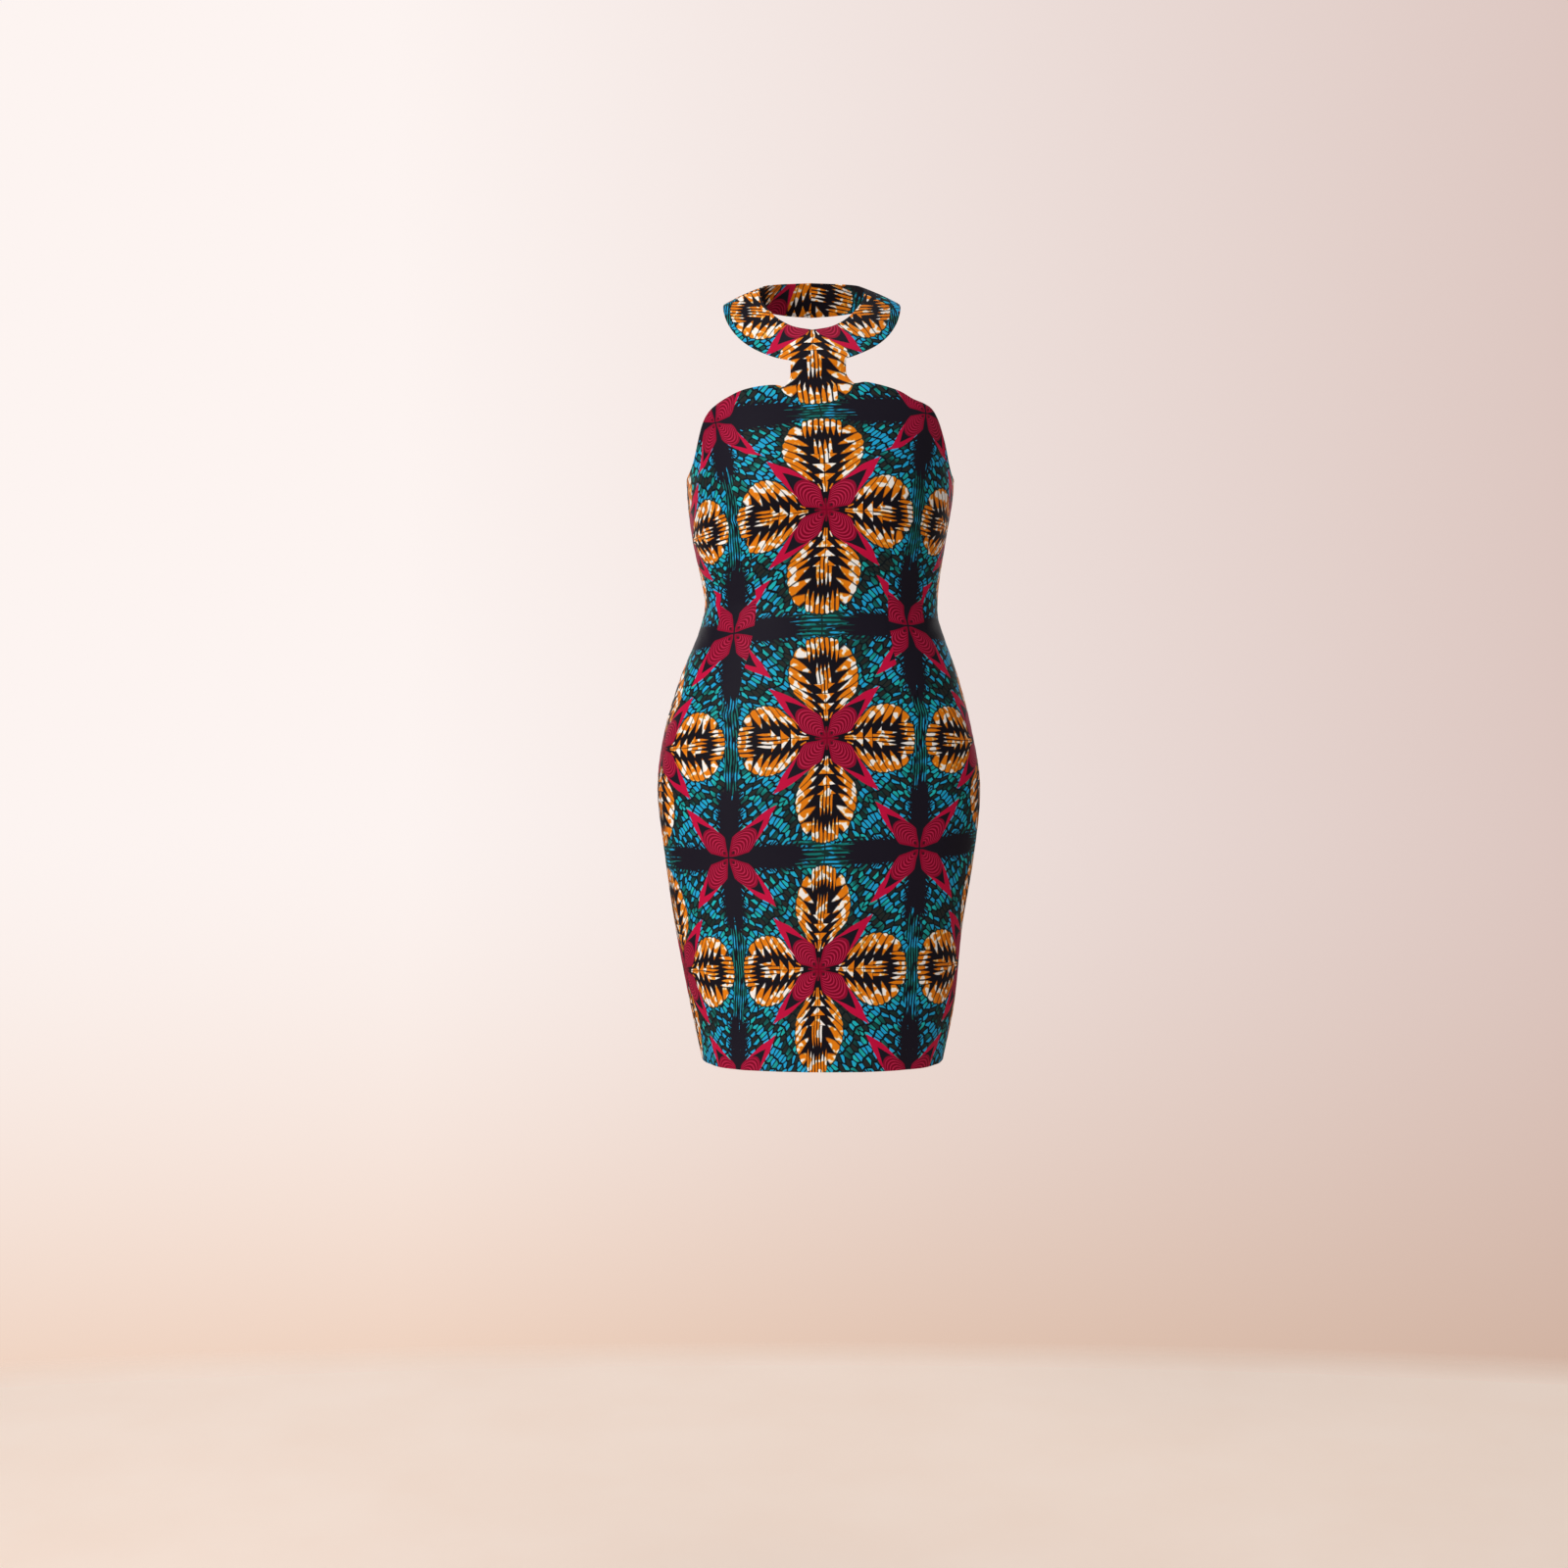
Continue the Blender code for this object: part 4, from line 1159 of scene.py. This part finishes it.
fastening = {  # the button and its loop at the neck
    "radius": 5.5 * mm,
    "shank": 1.8 * mm,
    "shankRise": 2.6 * mm,
    "dome": 2.6 * mm,
    "domeLow": 0.42,  # share of the dome's height at its widest
    "domeBends": (-62, 90, 18),  # degrees from, to, and number of places
    "spin": 48,
    "fromEdge": 9 * mm,
    "upBand": 0.62,
    "loopRadius": 0.8 * mm,
    "loopTail": 8 * mm,
    "tailParts": (1, 0.75, 0.5, 0.25),
    "sideParts": (0.8, 0.5, 0.25),
    "loopBends": (90, 270, 16),
    "wall": 1.6 * mm,  # of the solids' cloth
    "print": (60 * mm, 62 * mm),  # where in the print it is cut from
}


def collarFrame(fromEdge):
    # on the collar's outer face near centre back: X across, Y up the band, Z outwards
    up = fastening["upBand"]
    radius = plainBand(np.array(pi), np.array(up))[1]
    turn = np.array(pi - fromEdge / radius)
    normal = Vector(facing(plainBand, turn, np.array(up), nudge, nudge))
    spot = Vector(plainBand(turn, np.array(up))) + normal * collar["crown"] * 4 * up * (1 - up)
    across = Vector((-1, 0, 0))
    across = (across - normal * across.dot(normal)).normalized()
    axes = Matrix((across, normal.cross(across), normal)).transposed().to_4x4()
    return Matrix.Translation(spot + normal * fastening["wall"] / 2) @ axes


def coveredButton(finish):
    shank, rise = fastening["shank"], fastening["shankRise"]
    profile = [(0, 0), (shank, 0), (shank, rise - 0.2 * mm)]
    low = fastening["domeLow"]
    for bend in np.radians(np.linspace(*fastening["domeBends"])):
        up = rise + fastening["dome"] * (low + (1 - low) * sin(bend))
        profile.append((fastening["radius"] * max(cos(bend), 0) ** 0.8, up))
    spun = bmesh.new()
    ring = [spun.verts.new((r if r > 0.01 * mm else 0, 0, z)) for r, z in profile]
    edges = [spun.edges.new(pair) for pair in zip(ring, ring[1:])]
    turns = fastening["spin"]
    bmesh.ops.spin(spun, geom=ring + edges, angle=tau, steps=turns, axis=(0, 0, 1), cent=(0, 0, 0))
    bmesh.ops.remove_doubles(spun, verts=spun.verts, dist=0.01 * mm)
    bmesh.ops.recalc_face_normals(spun, faces=spun.faces)
    layer = spun.loops.layers.uv.new("cloth")
    for corner in (corner for face in spun.faces for corner in face.loops):
        corner[layer].uv = corner.vert.co.xy + Vector(fastening["print"])
    mesh = bpy.data.meshes.new("collar_button_cloth")
    spun.to_mesh(mesh)
    spun.free()
    mesh.transform(collarFrame(fastening["fromEdge"]) @ Matrix.Translation((0, 0, cloth["seam"])))
    return placed("collar_button_cloth", smoothed(mesh, finish))


def buttonLoop(finish):
    # a cord, sewn down at both ends, that passes round the button's shank
    rise = cloth["seam"] + fastening["loopRadius"]
    bend, edge = fastening["shank"] + rise, fastening["fromEdge"]
    away = [edge + fastening["loopTail"] * share for share in fastening["tailParts"]]
    away += [edge * share for share in fastening["sideParts"]]
    route = [(run, bend) for run in away]
    turns = np.radians(np.linspace(*fastening["loopBends"]))
    route += [(bend * cos(turn), bend * sin(turn)) for turn in turns]
    route += [(run, -bend) for run in away[::-1]]
    line = bpy.data.curves.new("collar_loop_guide", "CURVE")
    line.dimensions, line.bevel_depth, line.bevel_resolution = "3D", fastening["loopRadius"], 4
    line.use_fill_caps = True
    spline = line.splines.new("POLY")
    spline.points.add(len(route) - 1)
    for point, (run, up) in zip(spline.points, route):
        point.co = (*(collarFrame(edge - run) @ Vector((0, up, rise))), 1)
    made = plain("collar_loop_cord", placed("collar_loop_guide", line))
    made.data.materials.clear()
    made.data.materials.append(finish)
    made.data.shade_smooth()
    return made


room = {
    "cameraAt": (-0.0314, -2.70, -0.316),
    "cameraTilt": radians(85.3),
    "lens": 54.225,
    "floorZ": -1.463,
    "floorHalf": 6.0,
    "floor": ("f6e0d0", "fbe9dc"),
    "floorFade": (0.84, 0.12, 3.2),  # the visible floor's radius, its soft edge, and its stretch across
    "floorGlow": 0.11,
    "backdrop": ("fdf4f1", "d8c0b9"),  # from left to right
    "backdropLow": ("eecfba", "cbab98"),
    "backdropAcross": (1.9, 0.3),  # how fast it changes from left to right, and from where
    "backdropFade": (0.09, 4.3, 1.6),  # how it changes downwards: from where, how fast, how bent
    "sky": "fff6f2",
    "skyLight": 0.27,
    "lampsAim": (0, 0, -0.45),
    "lamps": [  # place, width, height, watts
        ((-2.0, -2.55, 0.6), 1.6, 2.2, 82),
        ((1.5, -2.7, 0.4), 1.6, 2.2, 6),
        ((0.2, 0.3, 1.9), 1.8, 1.4, 14),
        ((1.3, 2.4, 0.4), 1.4, 2.0, 14),
        ((-1.4, 2.4, 0.3), 1.4, 2.0, 16),
    ],
}


def makeSky():
    # the lamps' soft fill, and a pale backdrop where the camera sees past the floor
    sky = Finish("studio", "worlds")
    way = sky.axes(sky.node("ShaderNodeTexCoord")["Generated"])
    rate, start = room["backdropAcross"]
    across = (way * rate + start).clamped()
    start, rate, bend = room["backdropFade"]
    low = ((way[2] + start) * -rate).clamped().power(bend)
    seen = low.mix(across.mix(*room["backdrop"]), across.mix(*room["backdropLow"]))
    camera = sky.node("ShaderNodeLightPath")["Is Camera Ray"]
    sockets = {"Color": camera.mix(room["sky"], seen), "Strength": camera.blend(room["skyLight"], 1.0)}
    sky.node("ShaderNodeOutputWorld", None, {"Surface": sky.node("ShaderNodeBackground", None, sockets)})
    return sky.holder


def makeFloor():
    finish = Finish("studio_floor")
    reach, soft, stretch = room["floorFade"]
    place = finish.axes(finish.place())
    x, y = place / stretch, place[1]
    tone = finish.grain(6.0, 3.0).mix(*room["floor"])
    fade = {"Alpha": ((reach - (x * x + y * y).root()) / soft).clamped()}
    finish.surface(tone, 0.7, fade | {"Emission Color": tone, "Emission Strength": room["floorGlow"]})
    mesh = bpy.data.meshes.new("floor")
    far, z = room["floorHalf"], room["floorZ"]
    mesh.from_pydata([(-far, -far, z), (far, -far, z), (far, far, z), (-far, far, z)], [], [(0, 1, 2, 3)])
    mesh.materials.append(finish.holder)
    floor = placed("floor", mesh)


def makeRoom():
    scene = bpy.context.scene
    scene.view_settings.view_transform = "Standard"
    lens = bpy.data.cameras.new("camera")
    lens.lens, lens.sensor_width = room["lens"], 36
    scene.camera = placed("camera", lens)
    scene.camera.location, scene.camera.rotation_euler = room["cameraAt"], (room["cameraTilt"], 0, 0)
    scene.world = makeSky()
    makeFloor()
    for spot, wide, tall, watts in room["lamps"]:
        light = bpy.data.lights.new("softbox", "AREA")
        light.shape, light.size, light.size_y, light.energy = "RECTANGLE", wide, tall, watts
        lamp = placed("softbox", light)
        lamp.location = spot
        aim = Vector(room["lampsAim"]) - Vector(spot)
        lamp.rotation_euler = aim.to_track_quat("-Z", "Y").to_euler()


print("room")
makeRoom()
print("finishes")
printed, thread, tapeCloth = waxPrint(), threadFinish(), tapeFinish()
metal, nylon = metalFinish(), coilFinish()

print("front")
front, frontRuns = frontShell(printed)
print("backs")
(backLeft, leftRuns), (backRight, rightRuns) = (backShell(side, printed) for side in sideNames)
print("collar backs")
(collarLeft, collarLeftRuns), (collarRight, collarRightRuns) = (
    collarShell(side, printed) for side in sideNames
)
print("zip")
stitches = stitchTree()
tapes = [tapeShell(side, tapeCloth) for side in sideNames]
teeth = coil(stitches, nylon)
for node in ("zip_slider", "zip_pull"):
    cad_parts[node].data.materials.clear()
    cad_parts[node].data.materials.append(metal)
print("button and loop")
button = coveredButton(printed)
loop = buttonLoop(tapeCloth)

print("sewing")
low, high = zipper["stitchEnds"]
heights = steps(backTop - zipper["long"] - low, backTop - high, zipper["parts"]["stitch"])
leftZip, rightZip = (backLine(side * zipper["stitchOut"], heights, -proud)[0] for side in sideNames)
edgeRuns = {
    "front_edge": frontRuns,
    "back_left": [*leftRuns, leftZip],
    "back_right": [*rightRuns, rightZip],
    "collar_left": collarLeftRuns,
    "collar_right": collarRightRuns,
}
seams = {
    key: stitched(key + "_stitches", runs, sewing["stitch"], thread, stitches)
    for key, runs in edgeRuns.items()
}
pricks = {
    key: stitched(key + "_hem_pricks", [hemRun(*ends)], sewing["prick"], thread, stitches)
    for key, ends in sewing["pricked"].items()
}

print("frame")
pieces = [  # each with the nodes it stands for, its finish, and what is sewn to it
    (front, ["front"], "wax_print_cloth", [seams["front_edge"], pricks["front"]]),
    (backLeft, ["back_left"], "wax_print_cloth", [seams["back_left"], pricks["back_left"]]),
    (backRight, ["back_right"], "wax_print_cloth", [seams["back_right"], pricks["back_right"]]),
    (collarLeft, ["collar_back_left"], "wax_print_cloth", [seams["collar_left"]]),
    (collarRight, ["collar_back_right"], "wax_print_cloth", [seams["collar_right"]]),
    (tapes[0], ["zip"], "zip_tape", [teeth]),
    (tapes[1], [], "zip_tape", []),
    (button, ["collar_button"], "wax_print_cloth", []),
    (loop, ["collar_loop"], "zip_tape", []),
]
for piece, nodes, slot, sewn in pieces:
    if nodes:
        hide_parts(*nodes)
    for made in (piece, *sewn):
        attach(made, "dress")
